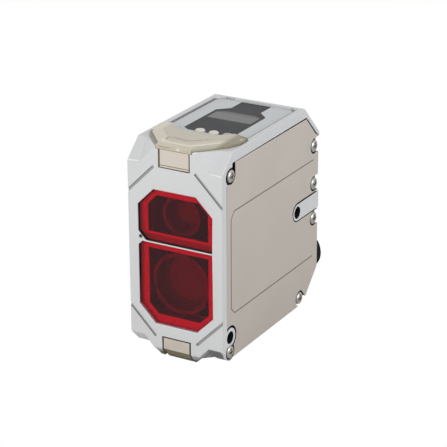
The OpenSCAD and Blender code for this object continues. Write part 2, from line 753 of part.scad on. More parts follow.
module low_led() {
  color([0.95, 0.93, 0.8]) box(-0.8, 0.8, 7.1, 7.9, floor_z - 0.5, floor_z + 1);
}

module connector_shell() {
  y0 = rear_y + 0.3;
  r = thread_d / 2;
  n = floor(thread_l / pitch) - 1;
  color([0.1, 0.1, 0.1]) translate([con_x, y0, con_z]) rotate([-90, 0, 0]) difference() {
    union() {
      translate([0, 0, -spigot_l]) cylinder(h = spigot_l + 0.1, r = carrier_d / 2 + 0.4);
      cylinder(h = 2, r = boss_d / 2 - 0.3);
      translate([0, 0, 1.9]) cylinder(h = thread_l + 0.1, r = r - 0.6);
      translate([0, 0, 2]) rotate_extrude() polygon(concat([[3.9, 0], [r - 0.6, 0]],
        [for (i = [0:n - 1]) for (k = [0, 1, 2, 3]) [k == 1 || k == 2 ? r : r - 0.6,
          0.5 + i * pitch + k * pitch * 0.22]], [[r - 0.6, thread_l], [3.9, thread_l]]));
    }
    translate([0, 0, -spigot_l - 0.5]) cylinder(h = thread_l + spigot_l + 10, r = carrier_d / 2);
    difference() {
      translate([0, 0, -1]) cylinder(h = 1.9, r = 5.9);
      translate([0, 0, -2]) cylinder(h = 4, r = carrier_d / 2 + 0.4);
    }
  }
}
module connector_insert() {
  y0 = rear_y + 0.3;
  color([0.13, 0.13, 0.13]) translate([con_x, y0, con_z]) rotate([-90, 0, 0]) difference() {
    translate([0, 0, -spigot_l]) cylinder(h = spigot_l + 4, r = carrier_d / 2);
    for (a = [45, 135, 225, 315]) rotate([0, 0, a]) translate([pin_circle / 2, 0, -spigot_l - 1])
      cylinder(h = spigot_l + 6, r = pin_d / 2);
  }
}
module connector_pins() {
  y0 = rear_y + 0.3;
  color([0.85, 0.7, 0.35]) translate([con_x, y0, con_z]) rotate([-90, 0, 0])
    for (a = [45, 135, 225, 315]) rotate([0, 0, a]) translate([pin_circle / 2, 0, -spigot_l - 1.5])
      cylinder(h = spigot_l + 1.3 + thread_l, r = pin_d / 2);
}
module connector_seal() {
  y0 = rear_y + 0.3;
  color([0.08, 0.08, 0.08]) translate([con_x, y0, con_z]) rotate([-90, 0, 0])
    translate([0, 0, 0.45]) rotate_extrude() translate([5.2, 0]) circle(r = 0.45, $fn = 32);
}

module placed() {
  translate([0, -hole_front_y, -hole_front_z]) children();
}

placed() housing();
placed() side_cover();
placed() cover_gasket();
placed() cover_screw(s_front_top);  // cover_screw_front_top
placed() cover_screw(s_front_low);  // cover_screw_front_low
placed() cover_screw(s_rear_top);  // cover_screw_rear_top
placed() cover_screw(s_rear_upper);  // cover_screw_rear_upper
placed() cover_screw(s_rear_mid);  // cover_screw_rear_mid
placed() cover_screw(s_rear_low);  // cover_screw_rear_low
placed() window_upper();
placed() window_lower();
placed() light_guide_top();
placed() light_guide_low();
placed() control_panel();
placed() display_mask();
placed() display_window();
placed() display_module();
placed() button_left();
placed() button_middle();
placed() button_right();
placed() button_switches();
placed() display_board();
placed() main_board();
placed() sensor_board();
placed() image_sensor();
placed() receiver_lens();
placed() receiver_barrel();
placed() emitter_barrel();
placed() emitter_lens();
placed() laser_diode();
placed() laser_board();
placed() top_led_board();
placed() top_leds();
placed() low_led_board();
placed() low_led();
placed() connector_shell();
placed() connector_insert();
placed() connector_pins();
placed() connector_seal();
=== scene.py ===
"""Looks of a compact laser distance sensor, built as a Blender add-on and run as a script.

Each operator dresses one group of the sensor's own pieces: the satin die casting, the blasted
stainless cover and its screws, the red acrylic windows, the smoky light guides, the printed
control panel with its keys, the optics behind the windows, the boards and the round plug
connector. The last one builds the stage. Every length is in metres, in the sensor's own frame.
"""
import math

import bmesh
import bpy
import numpy as np
from mathutils import Matrix, Vector


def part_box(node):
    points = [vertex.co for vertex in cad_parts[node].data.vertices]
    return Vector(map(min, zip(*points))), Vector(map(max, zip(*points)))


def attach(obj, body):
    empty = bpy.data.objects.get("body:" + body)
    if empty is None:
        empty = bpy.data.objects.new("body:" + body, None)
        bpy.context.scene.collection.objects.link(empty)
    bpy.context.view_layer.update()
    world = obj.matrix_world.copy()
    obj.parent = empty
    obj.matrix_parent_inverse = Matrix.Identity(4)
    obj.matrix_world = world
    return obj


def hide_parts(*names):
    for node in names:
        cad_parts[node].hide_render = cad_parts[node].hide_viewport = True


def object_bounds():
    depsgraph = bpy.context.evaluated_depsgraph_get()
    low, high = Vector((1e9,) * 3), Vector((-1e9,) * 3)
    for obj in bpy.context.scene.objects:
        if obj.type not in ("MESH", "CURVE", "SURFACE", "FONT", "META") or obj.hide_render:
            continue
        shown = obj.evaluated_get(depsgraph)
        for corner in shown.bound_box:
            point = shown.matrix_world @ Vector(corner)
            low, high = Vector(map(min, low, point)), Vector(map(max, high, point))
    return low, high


bl_info = {
    "name": "Laser Sensor Looks",
    "version": (1, 0, 0),
    "blender": (4, 5, 0),
    "location": "View3D > Sidebar > Laser Sensor",
    "description": "Finishes of a compact laser distance sensor",
    "category": "Object",
}

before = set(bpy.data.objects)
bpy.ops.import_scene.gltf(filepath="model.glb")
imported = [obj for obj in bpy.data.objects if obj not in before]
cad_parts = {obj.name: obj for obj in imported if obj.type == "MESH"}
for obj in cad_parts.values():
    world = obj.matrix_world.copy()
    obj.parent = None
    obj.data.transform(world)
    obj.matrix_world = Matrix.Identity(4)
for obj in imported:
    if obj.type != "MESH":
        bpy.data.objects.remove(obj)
CAD_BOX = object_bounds()

MM = 0.001
CASE_LOW, CASE_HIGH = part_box("housing")
FACE_Y = CASE_LOW.y
BASE_Z = CASE_HIGH.z - 57.2 * MM
# The places of the two mounting holes along Y and Z
HOLES = ((0, 0), (36.6 * MM, 21.8 * MM))
SCREWS = ("front_top", "front_low", "rear_top", "rear_upper", "rear_mid", "rear_low")
# Limits that leave an axis of a mask open
OPEN = (-1.0, 1.0)
# Square millimetres under which any face, and one of up to four corners, is shaded smooth
SMOOTH_FACE, SMOOTH_QUAD = 1, 15

# The camera that took the photograph, worked out from the sensor's own edges and corners
PHOTO_WIDTH = 447
FOCAL_PX = 1849.4
SENSOR_WIDTH_MM = 36
VIEW_AZIMUTH = math.radians(29.74)
VIEW_ELEVATION = math.radians(21.67)
VIEW_ROLL = math.radians(-0.24)
VIEW_DISTANCE = 484.5 * MM
VIEW_TARGET = Vector((1.60, 17.95, 22.83)) * MM


def linear(code):
    """The linear red, green and blue of an sRGB hex code."""
    share = np.array([int(code[i:i + 2], 16) for i in (1, 3, 5)]) / 255
    return tuple(np.where(share <= 0.04045, share / 12.92, ((share + 0.055) / 1.055) ** 2.4))


def colour(name, what, code):
    """A colour property that a user can change."""
    return bpy.props.FloatVectorProperty(name=name, description=what, subtype="COLOR", size=3,
                                         min=0, max=1, default=linear(code))


def length(name, what, value):
    """A length property in metres, given in millimetres."""
    return bpy.props.FloatProperty(name=name, description=what, default=value * MM, min=0,
                                   precision=6, unit="LENGTH")


class SensorSizes(bpy.types.PropertyGroup):
    """Sizes of the details that the finishes add."""
    case_edge: length("Case edge", "Radius of the casting's outer edges", 0.22)
    sheet_edge: length("Sheet edge", "Radius of the cover's deburred edges", 0.06)
    window_edge: length("Window edge", "Bevel round each acrylic window", 0.12)
    bead_out: length("Bead outside", "Reach of a window's adhesive bead outwards", 0.08)
    bead_in: length("Bead inside", "Reach of that bead inwards over the rim", 0.05)
    bead_deep: length("Bead depth", "Depth of that bead from the window's face", 0.9)
    guide_edge: length("Guide edge", "Radius of the light guides' edges", 0.14)
    key_edge: length("Key edge", "Radius of the key caps' edges", 0.12)
    cast_grain: length("Cast grain", "Size of the casting's fine surface grain", 0.35)
    blast_grain: length("Blast grain", "Size of the marks that bead blasting leaves", 0.22)
    head_height: length("Screw head", "Height of the cover screws' pan heads", 1.0)
    shank_r: length("Screw shank", "Radius of the cover screws' shanks", 0.98)
    screw_pitch: length("Screw pitch", "Pitch of the M2 cover screws", 0.4)
    cross_span: length("Cross span", "Tip to tip length of the cross recess", 2.0)
    cross_width: length("Cross width", "Width of one wing of the cross recess", 0.5)
    cross_depth: length("Cross depth", "Depth of the cross recess", 0.75)
    spigot_l: length("Spigot length", "How far the plug's shell reaches into the case", 9.5)
    spigot_r: length("Spigot radius", "Radius of the plug shell's spigot", 4.6)
    collar_l: length("Collar length", "Length of the plug shell's collar", 2.0)
    collar_r: length("Collar radius", "Radius of the plug shell's collar", 6.3)
    thread_l: length("Thread length", "Length of the plug's threaded end", 12.2)
    thread_r: length("Thread radius", "Radius over the plug's M12 thread", 5.9)
    thread_pitch: length("Thread pitch", "Pitch of the plug's M12 thread", 1.0)
    thread_depth: length("Thread depth", "Depth of the plug's thread", 0.6)
    bore_r: length("Bore radius", "Radius of the plug shell's bore", 4.2)
    pin_ring: length("Pin circle", "Radius of the circle on which the four pins stand", 2.6)
    pin_r: length("Pin radius", "Radius of a contact pin", 0.5)


class SensorColours(bpy.types.PropertyGroup):
    """Colours of the sensor's surfaces."""
    casting: colour("Casting", "Satin silver of the die casting", "#CACBCC")
    # Painted shade on the chamber walls behind the windows
    chamber_shade: colour("Chamber", "Dull grey of the chamber behind the windows", "#565049")
    # Painted shade in the casting's deep recesses, bores and gaps, where no light reaches
    shade: colour("Deep recess", "Dark of the recesses that the plating misses", "#1C1B19")
    # Painted shade on the shallow walls, grooves and the upper window's seat
    recess: colour("Shallow recess", "Grey of the shallow walls and grooves", "#9B9B9E")
    # Painted shade in and round the dimple, lighter than the deep shade round the windows
    dimple: colour("Dimple", "Grey green of the dimple beside the windows' rib", "#66736E")
    arch: colour("Arches", "Shaded grey of the casting between foot and case", "#6A6A6B")
    # Paler streaks over the arch's painted shade, which give way to the full shade towards the
    # cover
    arch_pale: colour("Arch streaks", "Paler streaks left on the arch by the die", "#A9A9A8")
    cover: colour("Cover", "Warm grey of the blasted stainless cover", "#C8C0B8")
    # Painted shade on the cover's cut walls, so that the gaps round it read dark
    cut_wall_shade: colour("Cut walls", "Dark cut walls of the stainless cover", "#2B2723")
    # The engraving's burnt metal with painted shade in its groove; also laid over the lower cover
    # as painted shade
    engraved: colour("Engraving", "Burnt brown of the engraved border line", "#8F857A")
    screw: colour("Screw", "Bright stainless of the screws", "#ADA9A3")
    rubber: colour("Rubber", "Black of the seals", "#1B1B1B")
    # Black of the adhesive bead, which also stands for the shade along the windows' edges
    adhesive_shade: colour("Adhesive", "Black of the bead that holds the windows", "#141011")
    acrylic: colour("Acrylic", "Deep red of the windows", "#F4125C")
    guide: colour("Light guide", "Smoky ivory of the light guides", "#C3BAA6")
    guide_bright: colour("Guide bevel", "Lit ivory of the guides' bevels", "#CFC8B3")
    guide_glint: colour("Guide glint", "Thin bright line along the guides' rim", "#E2DCCB")
    guide_tab: colour("Guide tab", "Pale ivory of the tab on the front", "#D6CCC2")
    # Pale upper end of the painted shading up the guides' walls, also the ring round the bubble
    guide_wall: colour("Guide wall", "Pale upper end of the guides' walls", "#C5C2AF")
    guide_line: colour("Guide line", "Edge of the light pipe inside the guide", "#766A50")
    guide_brown: colour("Guide wing", "Brown of the wing that the case shades", "#8F866F")
    # Painted shade on the low guide's slope, which faces down
    guide_edge: colour("Low guide slope", "Deep olive of the low guide's slope", "#675B2F")
    guide_outline: colour("Low guide outline", "Dark brown line round the low guide", "#352C1A")
    guide_spot: colour("Guide spot", "Pale spot where a lamp shows through", "#D9D0A8")
    guide_shade: colour("Guide shade", "Olive of the guides' upright walls", "#85836C")
    # Also painted shade on the casting's walls round the guides
    guide_dark: colour("Guide edge", "Dark olive along the guides' edges", "#685F45")
    panel: colour("Panel", "Silver grey of the printed sheet", "#C6CACC")
    # Painted shade of the gap along the panel sheet's cut edge, and on the casting's strip beside
    # it
    panel_gap_shade: colour("Panel edge", "Dark cut edge of the panel sheet", "#5C6268")
    mask: colour("Mask", "Black of the printed display mask", "#232527")
    screen: colour("Screen", "Smoked grey of the display's window", "#666565")
    key_pale: colour("Pale key", "Light grey of two of the keys", "#D9D5D1")
    key_grey: colour("Grey key", "Grey of the third key", "#A9A9A3")
    board: colour("Board", "Green of the solder mask", "#1E5A38")
    chip: colour("Chip", "Black of the moulded chips", "#17171A")
    lens: colour("Lens", "Clear moulded lens", "#D4D7D9")
    barrel: colour("Barrel", "Dusty black of the lens barrels", "#484344")
    gold: colour("Gold", "Gold plate of pins and laser can", "#E0BC6A")
    phosphor: colour("Phosphor", "Yellowish face of the indicator lamps", "#E4D9A0")
    connector: colour("Connector", "Black nickel of the plug connector", "#201F1D")
    carrier: colour("Carrier", "Black of the contact carrier", "#1C1D1E")


def sizes():
    """The size properties of this scene."""
    return bpy.context.scene.sensor_sizes


def colours():
    """The colour properties of this scene."""
    return bpy.context.scene.sensor_colours


def add(tree, kind, inputs=None, **settings):
    """Adds one node: settings go on the node, and inputs are values or sockets to link from."""
    made = tree.nodes.new(kind)
    for key, value in settings.items():
        setattr(made, key, value)
    for socket, value in (inputs or {}).items():
        if isinstance(value, bpy.types.NodeSocket):
            tree.links.new(value, made.inputs[socket])
        else:
            made.inputs[socket].default_value = value
    return made


def start_material(name, **constants):
    """A new material with its node tree and its shader, whose constants go on its own sockets."""
    made = bpy.data.materials.get(name)
    if made:
        return made, None, None
    made = bpy.data.materials.new(name)
    made.use_nodes = True
    shader = made.node_tree.nodes["Principled BSDF"]
    for socket, value in constants.items():
        shader.inputs[socket.replace("_", " ")].default_value = value
    return made, made.node_tree, shader


def rgba(value):
    """A linear colour with full alpha, or the socket that gives one."""
    return value if isinstance(value, bpy.types.NodeSocket) else (*value, 1)


def painted(tree, base, *layers):
    """A base colour under layers of others: each covers what lies under it by its mask's share.
    Colours may be sockets."""
    for mask, top in layers:
        base = add(tree, "ShaderNodeMix", {"Factor": mask, "A": rgba(base), "B": rgba(top)},
                   data_type="RGBA").outputs["Result"]
    return base


def tone(tree, shader, base, spread, patch, roughness=None):
    """Lets the colour drift by a share of spread, and the roughness a little, over cloudy patches
    of that size. Gives the Object coordinates and the colour."""
    place = add(tree, "ShaderNodeTexCoord").outputs["Object"]
    cloud = add(tree, "ShaderNodeTexNoise",
                {"Vector": place, "Scale": 1 / patch, "Detail": 3}).outputs["Fac"]
    dark = tuple(c * (1 - spread) for c in base)
    pale = tuple(min(1, c * (1 + spread)) for c in base)
    shown = painted(tree, dark, (cloud, pale))
    tree.links.new(shown, shader.inputs["Base Color"])
    if roughness is not None:
        wobble = 0.06
        drift = add(tree, "ShaderNodeMapRange", {"Value": cloud, "To Min": roughness - wobble,
                                                 "To Max": roughness + wobble})
        tree.links.new(drift.outputs["Result"], shader.inputs["Roughness"])
    return place, shown


def bump(tree, shader, place, size, depth, detail=4):
    """A fine relief of that grain size and depth, both in metres."""
    grain = add(tree, "ShaderNodeTexNoise",
                {"Vector": place, "Scale": 1 / size, "Detail": detail, "Roughness": 0.6})
    relief = add(tree, "ShaderNodeBump", {"Height": grain.outputs["Fac"], "Distance": depth,
                                          "Strength": 1.0})
    tree.links.new(relief.outputs["Normal"], shader.inputs["Normal"])


def even_finish(name, base, spread, patch, roughness, grain=0, depth=0, detail=4, steady=False,
                **constants):
    """A material whose colour, and roughness unless it is steady, drift over patches of one size,
    under a relief of one grain where a grain is given."""
    made, tree, shader = start_material(name, Roughness=roughness, **constants)
    if tree:
        place, _ = tone(tree, shader, base, spread, patch, None if steady else roughness)
        if grain:
            bump(tree, shader, place, grain, depth, detail)
    return made


def joined(tree, masks, operation="MAXIMUM"):
    """Several masks as one: the highest of them, or with MULTIPLY where they all are one."""
    found = masks[0]
    for mask in masks[1:]:
        found = add(tree, "ShaderNodeMath", {0: found, 1: mask}, operation=operation).outputs[0]
    return found


def share_along(tree, place, axis, low, high):
    """The share of the way from low to high along an axis, held between zero and one."""
    axes = add(tree, "ShaderNodeSeparateXYZ", {"Vector": place})
    share = add(tree, "ShaderNodeMapRange", {"Value": axes.outputs[axis], "From Min": low,
                                             "From Max": high})
    return share.outputs["Result"]


def clouds(tree, place, most):
    """Soft clouds of about three millimetres that reach the share called most."""
    cloud = add(tree, "ShaderNodeTexNoise", {"Vector": place, "Scale": 1 / (3 * MM), "Detail": 2})
    return add(tree, "ShaderNodeMath", {0: cloud.outputs["Fac"], 1: most},
               operation="MULTIPLY").outputs[0]


def inside_box(tree, place, x=OPEN, y=OPEN, z=OPEN):
    """One where each coordinate lies between its two limits, else zero: the distance from the
    middle less half the size is below zero on every axis."""
    low, high = (Vector(corner) for corner in zip(x, y, z))
    away = add(tree, "ShaderNodeVectorMath", {0: place, 1: (low + high) / 2},
               operation="SUBTRACT")
    size = add(tree, "ShaderNodeVectorMath", {0: away.outputs[0]}, operation="ABSOLUTE")
    over = add(tree, "ShaderNodeVectorMath", {0: size.outputs[0], 1: (high - low) / 2},
               operation="SUBTRACT")
    axes = add(tree, "ShaderNodeSeparateXYZ", {0: over.outputs[0]})
    return add(tree, "ShaderNodeMath", {0: joined(tree, list(axes.outputs)), 1: 0.0},
               operation="LESS_THAN").outputs[0]


def inside_any(tree, place, *boxes):
    """One inside any of several boxes, each given by its limits along X, Y and Z, else zero."""
    return joined(tree, [inside_box(tree, place, *limits) for limits in boxes])


def inside_bore(tree, place, y, z, radius, half):
    """One inside a bore along X of that radius, up to half a length on each side, else zero."""
    flat = add(tree, "ShaderNodeVectorMath", {0: place, 1: (0, 1, 1)}, operation="MULTIPLY")
    away = add(tree, "ShaderNodeVectorMath", {0: flat.outputs[0], 1: (0, y, z)},
               operation="DISTANCE")
    near = add(tree, "ShaderNodeMath", {0: away.outputs["Value"], 1: radius},
               operation="LESS_THAN")
    return joined(tree, [near.outputs[0], inside_box(tree, place, (-half, half))], "MULTIPLY")


def near_line(tree, place, start, end, half, z=OPEN):
    """One within half a width of a line drawn in plan, between two heights, else zero: the point's
    share along the line is held between zero and one, and its distance from there is compared."""
    start, end = Vector((*start, 0)), Vector((*end, 0))
    along = end - start
    flat = add(tree, "ShaderNodeVectorMath", {0: place, 1: (1, 1, 0)}, operation="MULTIPLY")
    away = add(tree, "ShaderNodeVectorMath", {0: flat.outputs[0], 1: start}, operation="SUBTRACT")
    share = add(tree, "ShaderNodeVectorMath", {0: away.outputs[0], 1: along / along.length ** 2},
                operation="DOT_PRODUCT")
    held = add(tree, "ShaderNodeClamp", {"Value": share.outputs["Value"]})
    foot = add(tree, "ShaderNodeVectorMath", {0: along, "Scale": held.outputs[0]},
               operation="SCALE")
    gap = add(tree, "ShaderNodeVectorMath", {0: away.outputs[0], 1: foot.outputs[0]},
              operation="DISTANCE")
    near = add(tree, "ShaderNodeMath", {0: gap.outputs["Value"], 1: half}, operation="LESS_THAN")
    return joined(tree, [near.outputs[0], inside_box(tree, place, z=z)], "MULTIPLY")


def deep_recess_shade(tree, place):
    """Where the casting is painted in deep shade: behind the cover, but not on the rear slope's
    outside, where Y plus Z is over a limit, then in both through bores and along the foot rail's
    lower edge."""
    side, front, top = CASE_HIGH.x, FACE_Y, CASE_HIGH.z
    low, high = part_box("side_cover")
    hair, gap, bore, rear_slope = 0.05 * MM, 0.3 * MM, 1.74 * MM, 88.45 * MM
    under = (side - 1.5 * MM, side - hair)
    sloped = add(tree, "ShaderNodeVectorMath", {0: place, 1: (0, 1, 1)}, operation="DOT_PRODUCT")
    inner = add(tree, "ShaderNodeMath", {0: sloped.outputs["Value"], 1: rear_slope},
                operation="LESS_THAN").outputs[0]
    main = inside_box(tree, place, under, (front + 5.4 * MM, high.y - gap),
                      (low.z - hair, high.z + gap))
    others = inside_any(
        tree, place,
        (under, (low.y - gap, front + 6 * MM), (BASE_Z + 5 * MM, top - 5 * MM)),
        (under, (front + 3.5 * MM, front + 7 * MM), (BASE_Z + 1.6 * MM, top - 9 * MM)),
        ((4.2 * MM, 5.9 * MM), (front, front + 2 * MM),
         (CASE_LOW.z - hair, CASE_LOW.z + 0.75 * MM)))
    bores = [inside_bore(tree, place, y, z, bore, side - 0.12 * MM) for y, z in HOLES]
    return joined(tree, [joined(tree, [main, inner], "MULTIPLY"), others, *bores])


def window_wall_shade(tree, place):
    """The walls round the two windows, painted in shade, but for what lies in front of the lower
    one's foot.
    """
    low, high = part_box("window_lower")[0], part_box("window_upper")[1]
    play, middle, back = 0.13 * MM, low.z + 4.7 * MM, high.y - 0.1 * MM
    across = (low.x - play, high.x + play)
    return inside_any(tree, place,
                      (across, (FACE_Y + 0.05 * MM, back), (middle, high.z + play)),
                      (across, (low.y + 0.5 * MM, back), (low.z - play, middle)))


def chamber_wall_shade(tree, place):
    """The walls of the chamber behind the windows' seats, painted in shade."""
    low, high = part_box("window_lower")[0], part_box("window_upper")[1]
    return inside_box(tree, place, (low.x, high.x), (high.y + 0.3 * MM, 12 * MM),
                      (low.z, high.z))


def guide_recess_shade(tree, place):
    """The walls round the upper guide's tab and the lower guide, painted in shade of the guides'
    olive.
    """
    hair, gap, tab_half = 0.05 * MM, 0.3 * MM, 4.65 * MM
    front = FACE_Y + hair
    tab, (low, high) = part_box("light_guide_top")[0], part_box("light_guide_low")
    deep = (front, high.y + gap)
    return inside_any(
        tree, place,
        ((-tab_half, tab_half), (front, FACE_Y + 2.6 * MM), (tab.z - gap, CASE_HIGH.z)),
        ((low.x - gap, high.x + gap), deep, (CASE_LOW.z, high.z + gap)),
        ((low.x - 1.3 * MM, low.x), deep, (CASE_LOW.z - hair, BASE_Z + 0.7 * MM)))


def shallow_recess_shade(tree, place):
    """The left side of the control panel's recess, the four grooves on the front face and the
    rib's seat for the upper window: all get painted shade, only a little darker than the faces
    round them."""
    low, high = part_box("control_panel")
    glass_low, glass_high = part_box("window_upper")
    gap, hair, side = 0.3 * MM, 0.06 * MM, CASE_HIGH.x
    across, groove = (-side, side), (FACE_Y + hair, FACE_Y + 0.4 * MM)
    return inside_any(
        tree, place,
        ((low.x - gap, low.x + gap), (FACE_Y + 11 * MM, high.y + 0.9 * MM),
         (low.z - 1 * MM, CASE_HIGH.z - 0.05 * MM)),
        (across, groove, (BASE_Z + 43 * MM, BASE_Z + 52.1 * MM)),
        (across, groove, (BASE_Z + 4.9 * MM, BASE_Z + 13.6 * MM)),
        ((glass_low.x, glass_high.x), (glass_high.y - 0.1 * MM, glass_high.y + gap),
         (glass_low.z - hair, glass_low.z + 1.35 * MM)))


def shaded_arch(tree, place):
    """The shaded soffit and slope between foot and case, and their colour of painted shade: a sine
    wave along Y lays paler streaks on it, which die out towards the cover."""
    c, front, streak_pitch = colours(), FACE_Y + 0.1 * MM, 1.3 * MM
    soffit = ((-12.6 * MM, 12.9 * MM), (front, FACE_Y + 6 * MM), (CASE_LOW.z, BASE_Z + 1.36 * MM))
    slope = ((5.0 * MM, 12.95 * MM), (front, FACE_Y + 4.2 * MM), (CASE_LOW.z, BASE_Z + 4.66 * MM))
    axes = add(tree, "ShaderNodeSeparateXYZ", {"Vector": place})
    angle = add(tree, "ShaderNodeMath", {0: axes.outputs["Y"], 1: 2 * math.pi / streak_pitch},
                operation="MULTIPLY")
    wave = add(tree, "ShaderNodeMath", {0: angle.outputs[0]}, operation="SINE")
    streak = add(tree, "ShaderNodeMapRange", {"Value": wave.outputs[0], "From Min": -1.6,
                                              "From Max": 1.6}).outputs["Result"]
    faded = share_along(tree, place, "X", 8.6 * MM, 10.4 * MM)
    pale = painted(tree, c.arch_pale, (faded, c.arch))
    return inside_any(tree, place, soffit, slope), painted(tree, c.arch, (streak, pale))


def dimple_shade_spot(tree, place):
    """A soft-edged spot of painted shade round the dimple beside the windows' rib."""
    middle = (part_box("window_upper")[0].x + 0.6 * MM, FACE_Y, BASE_Z + 32.1 * MM)
    away = add(tree, "ShaderNodeVectorMath", {0: place, 1: middle}, operation="DISTANCE")
    return add(tree, "ShaderNodeMapRange", {"Value": away.outputs["Value"],
                                            "From Min": 0.65 * MM,
                                            "From Max": 0.45 * MM}).outputs["Result"]


def satin_zinc_casting():
    """Zinc die casting, shot blasted and plated in satin nickel: pale, nearly neutral, with a soft
    wide highlight and a grain of about a third of a millimetre that only close views show."""
    made, tree, shader = start_material("satin_zinc_casting", Metallic=0.4, Roughness=0.5)
    if not tree:
        return made
    c = colours()
    place, plain = tone(tree, shader, c.casting, 0.03, 9 * MM, 0.5)
    dark = deep_recess_shade(tree, place)
    arch, shadow = shaded_arch(tree, place)
    low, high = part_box("control_panel")
    # Painted shade on the casting's strip in the gap beside the panel
    brim_shade = inside_box(tree, place, (high.x, high.x + 0.32 * MM),
                      (FACE_Y + 14 * MM, high.y - 0.4 * MM), (low.z, 1.0))
    # Painted highlight: a white line along the ledge's edge beside the upper guide
    lit_edge = near_line(tree, place, (5.4 * MM, FACE_Y + 0.2 * MM),
                         (11.6 * MM, FACE_Y + 6.8 * MM), 0.14 * MM, (CASE_HIGH.z - 0.4 * MM, 1.0))
    # Over the plain colour: a painted highlight, then painted shade on the arches, shallow
    # recesses, panel gap, guide walls, chamber, window walls, dimple and deep recesses
    shown = painted(tree, plain, (lit_edge, (1, 1, 1)), (arch, shadow),
                    (shallow_recess_shade(tree, place), c.recess), (brim_shade, c.panel_gap_shade),
                    (guide_recess_shade(tree, place), c.guide_dark),
                    (chamber_wall_shade(tree, place), c.chamber_shade), (window_wall_shade(tree, place), c.shade),
                    (dimple_shade_spot(tree, place), c.dimple), (dark, c.shade))
    tree.links.new(shown, shader.inputs["Base Color"])
    # Where the deep painted shade lies, the casting loses its metallic sheen too
    metal = add(tree, "ShaderNodeMapRange", {"Value": dark, "To Min": 0.4, "To Max": 0.0})
    tree.links.new(metal.outputs["Result"], shader.inputs["Metallic"])
    bump(tree, shader, place, sizes().cast_grain, 0.006 * MM)
    return made


def blasted_stainless():
    """Stainless sheet, fine bead blasted: a warm even grey that keeps a wide metallic sheen. The
    laser-engraved border line is darker, as the burnt metal at its bottom is, with painted shade
    in its groove. The cut walls get painted shade, so that the gaps round the sheet read dark, and
    painted shade darkens the sheet a little downwards."""
    made, tree, shader = start_material("blasted_stainless", Metallic=0.8, Roughness=0.4)
    if not tree:
        return made
    c = colours()
    place, plain = tone(tree, shader, c.cover, 0.035, 14 * MM, 0.4)
    low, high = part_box("side_cover")
    line = inside_box(tree, place, (high.x - 0.3 * MM, high.x - 0.02 * MM),
                      (low.y + 2.3 * MM, high.y - 2.7 * MM),
                      (low.z + 11.5 * MM, low.z + 40.6 * MM))
    face = share_along(tree, place, "X", high.x - 0.14 * MM, high.x - 0.07 * MM)
    # Painted shade: the engraving's colour laid over the sheet more and more downwards
    downward_shade = add(tree, "ShaderNodeMath", {0: share_along(tree, place, "Z", high.z, low.z), 1: 0.16},
               operation="MULTIPLY").outputs[0]
    shown = painted(tree, c.cut_wall_shade, (face, plain), (line, c.engraved), (downward_shade, c.engraved))
    tree.links.new(shown, shader.inputs["Base Color"])
    bump(tree, shader, place, sizes().blast_grain, 0.005 * MM, detail=2)
    return made


def bright_stainless():
    """Turned and tumbled stainless screws: brighter and smoother than the cover."""
    return even_finish("bright_stainless", colours().screw, 0.05, 1.2 * MM, 0.24, 0.12 * MM,
                       0.002 * MM, detail=2, Metallic=1.0)


def nitrile_rubber():
    """Moulded nitrile: matt near-black with a dusty bloom."""
    return even_finish("nitrile_rubber", colours().rubber, 0.2, 2 * MM, 0.75, 0.1 * MM,
                       0.003 * MM, steady=True)


def red_acrylic():
    """Cast red acrylic, polished and coated against reflections, which its low IOR stands for:
    only red light passes, so the silver seat behind its rim glows and the dark optics behind its
    middle look brown."""
    return even_finish("red_acrylic", colours().acrylic, 0.04, 6 * MM, 0.03, 4 * MM, 0.002 * MM,
                       detail=1, steady=True, IOR=1.32, Transmission_Weight=1.0)


def smoky_polycarbonate(name):
    """Moulded light-guide polycarbonate with a diffusing filler: milky, smooth, a little clear."""
    return start_material(name, Roughness=0.25, IOR=1.58, Specular_IOR_Level=0.4,
                          Transmission_Weight=0.1, Coat_Weight=0.15, Coat_Roughness=0.1)


def top_guide_edges(tree, place):
    """The dark lines of the upper guide: round its tab, along the foot and head of its left wing's
    walls, under the rim over the tab, and at the end of its right wing."""
    low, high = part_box("light_guide_top")
    wall_low, wall_high = high.z - 1.8 * MM, high.z - 0.6 * MM
    side, line, half = 0.28 * MM, 0.16 * MM, 4.5 * MM
    tab_deep, wing_deep = (OPEN[0], FACE_Y + 3 * MM), (OPEN[0], FACE_Y + 9 * MM)
    upright, left_wing = (low.z - side, wall_low), (OPEN[0], -5.1 * MM)
    lines = inside_any(
        tree, place,
        ((-half - side, 1.5 * side - half), tab_deep, upright),
        ((half - side, half + side), tab_deep, upright),
        ((-half, half), tab_deep, (low.z - side, low.z + line)),
        ((-half, half), tab_deep, (low.z + 3.4 * line, low.z + 4.6 * line)),
        (left_wing, wing_deep, (wall_high - 0.12 * MM, wall_high + 0.12 * MM)),
        (left_wing, wing_deep, (wall_low, wall_low + 0.3 * MM)),
        ((-5 * MM, 4.6 * MM), OPEN, (wall_low, wall_low + 0.12 * MM)))
    wing_end = near_line(tree, place, (9.5 * MM, FACE_Y + 15.2 * MM),
                         (12.8 * MM, FACE_Y + 14.6 * MM), 0.5 * MM, (wall_low, 1.0))
    return joined(tree, [lines, wing_end])


def light_pipe_lines(tree, place):
    """The edge of the light pipe under the upper guide's top, and the scored line on its rim."""
    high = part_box("light_guide_top")[1]
    turns = ((-4.0, 3.3), (-4.28, 4.5), (-3.0, 5.07), (1.0, 4.2), (1.8, 4.4), (5.5, 7.6))
    path = [(x * MM, FACE_Y + y * MM) for x, y in turns]
    scored = inside_box(tree, place, (-4.6 * MM, -1.2 * MM), (OPEN[0], FACE_Y + 3 * MM),
                        (high.z - 1.06 * MM, high.z - 0.94 * MM))
    return joined(tree, [near_line(tree, place, start, end, 0.18 * MM, (high.z - 0.6 * MM, 1.0))
                         for start, end in zip(path, path[1:])] + [scored])


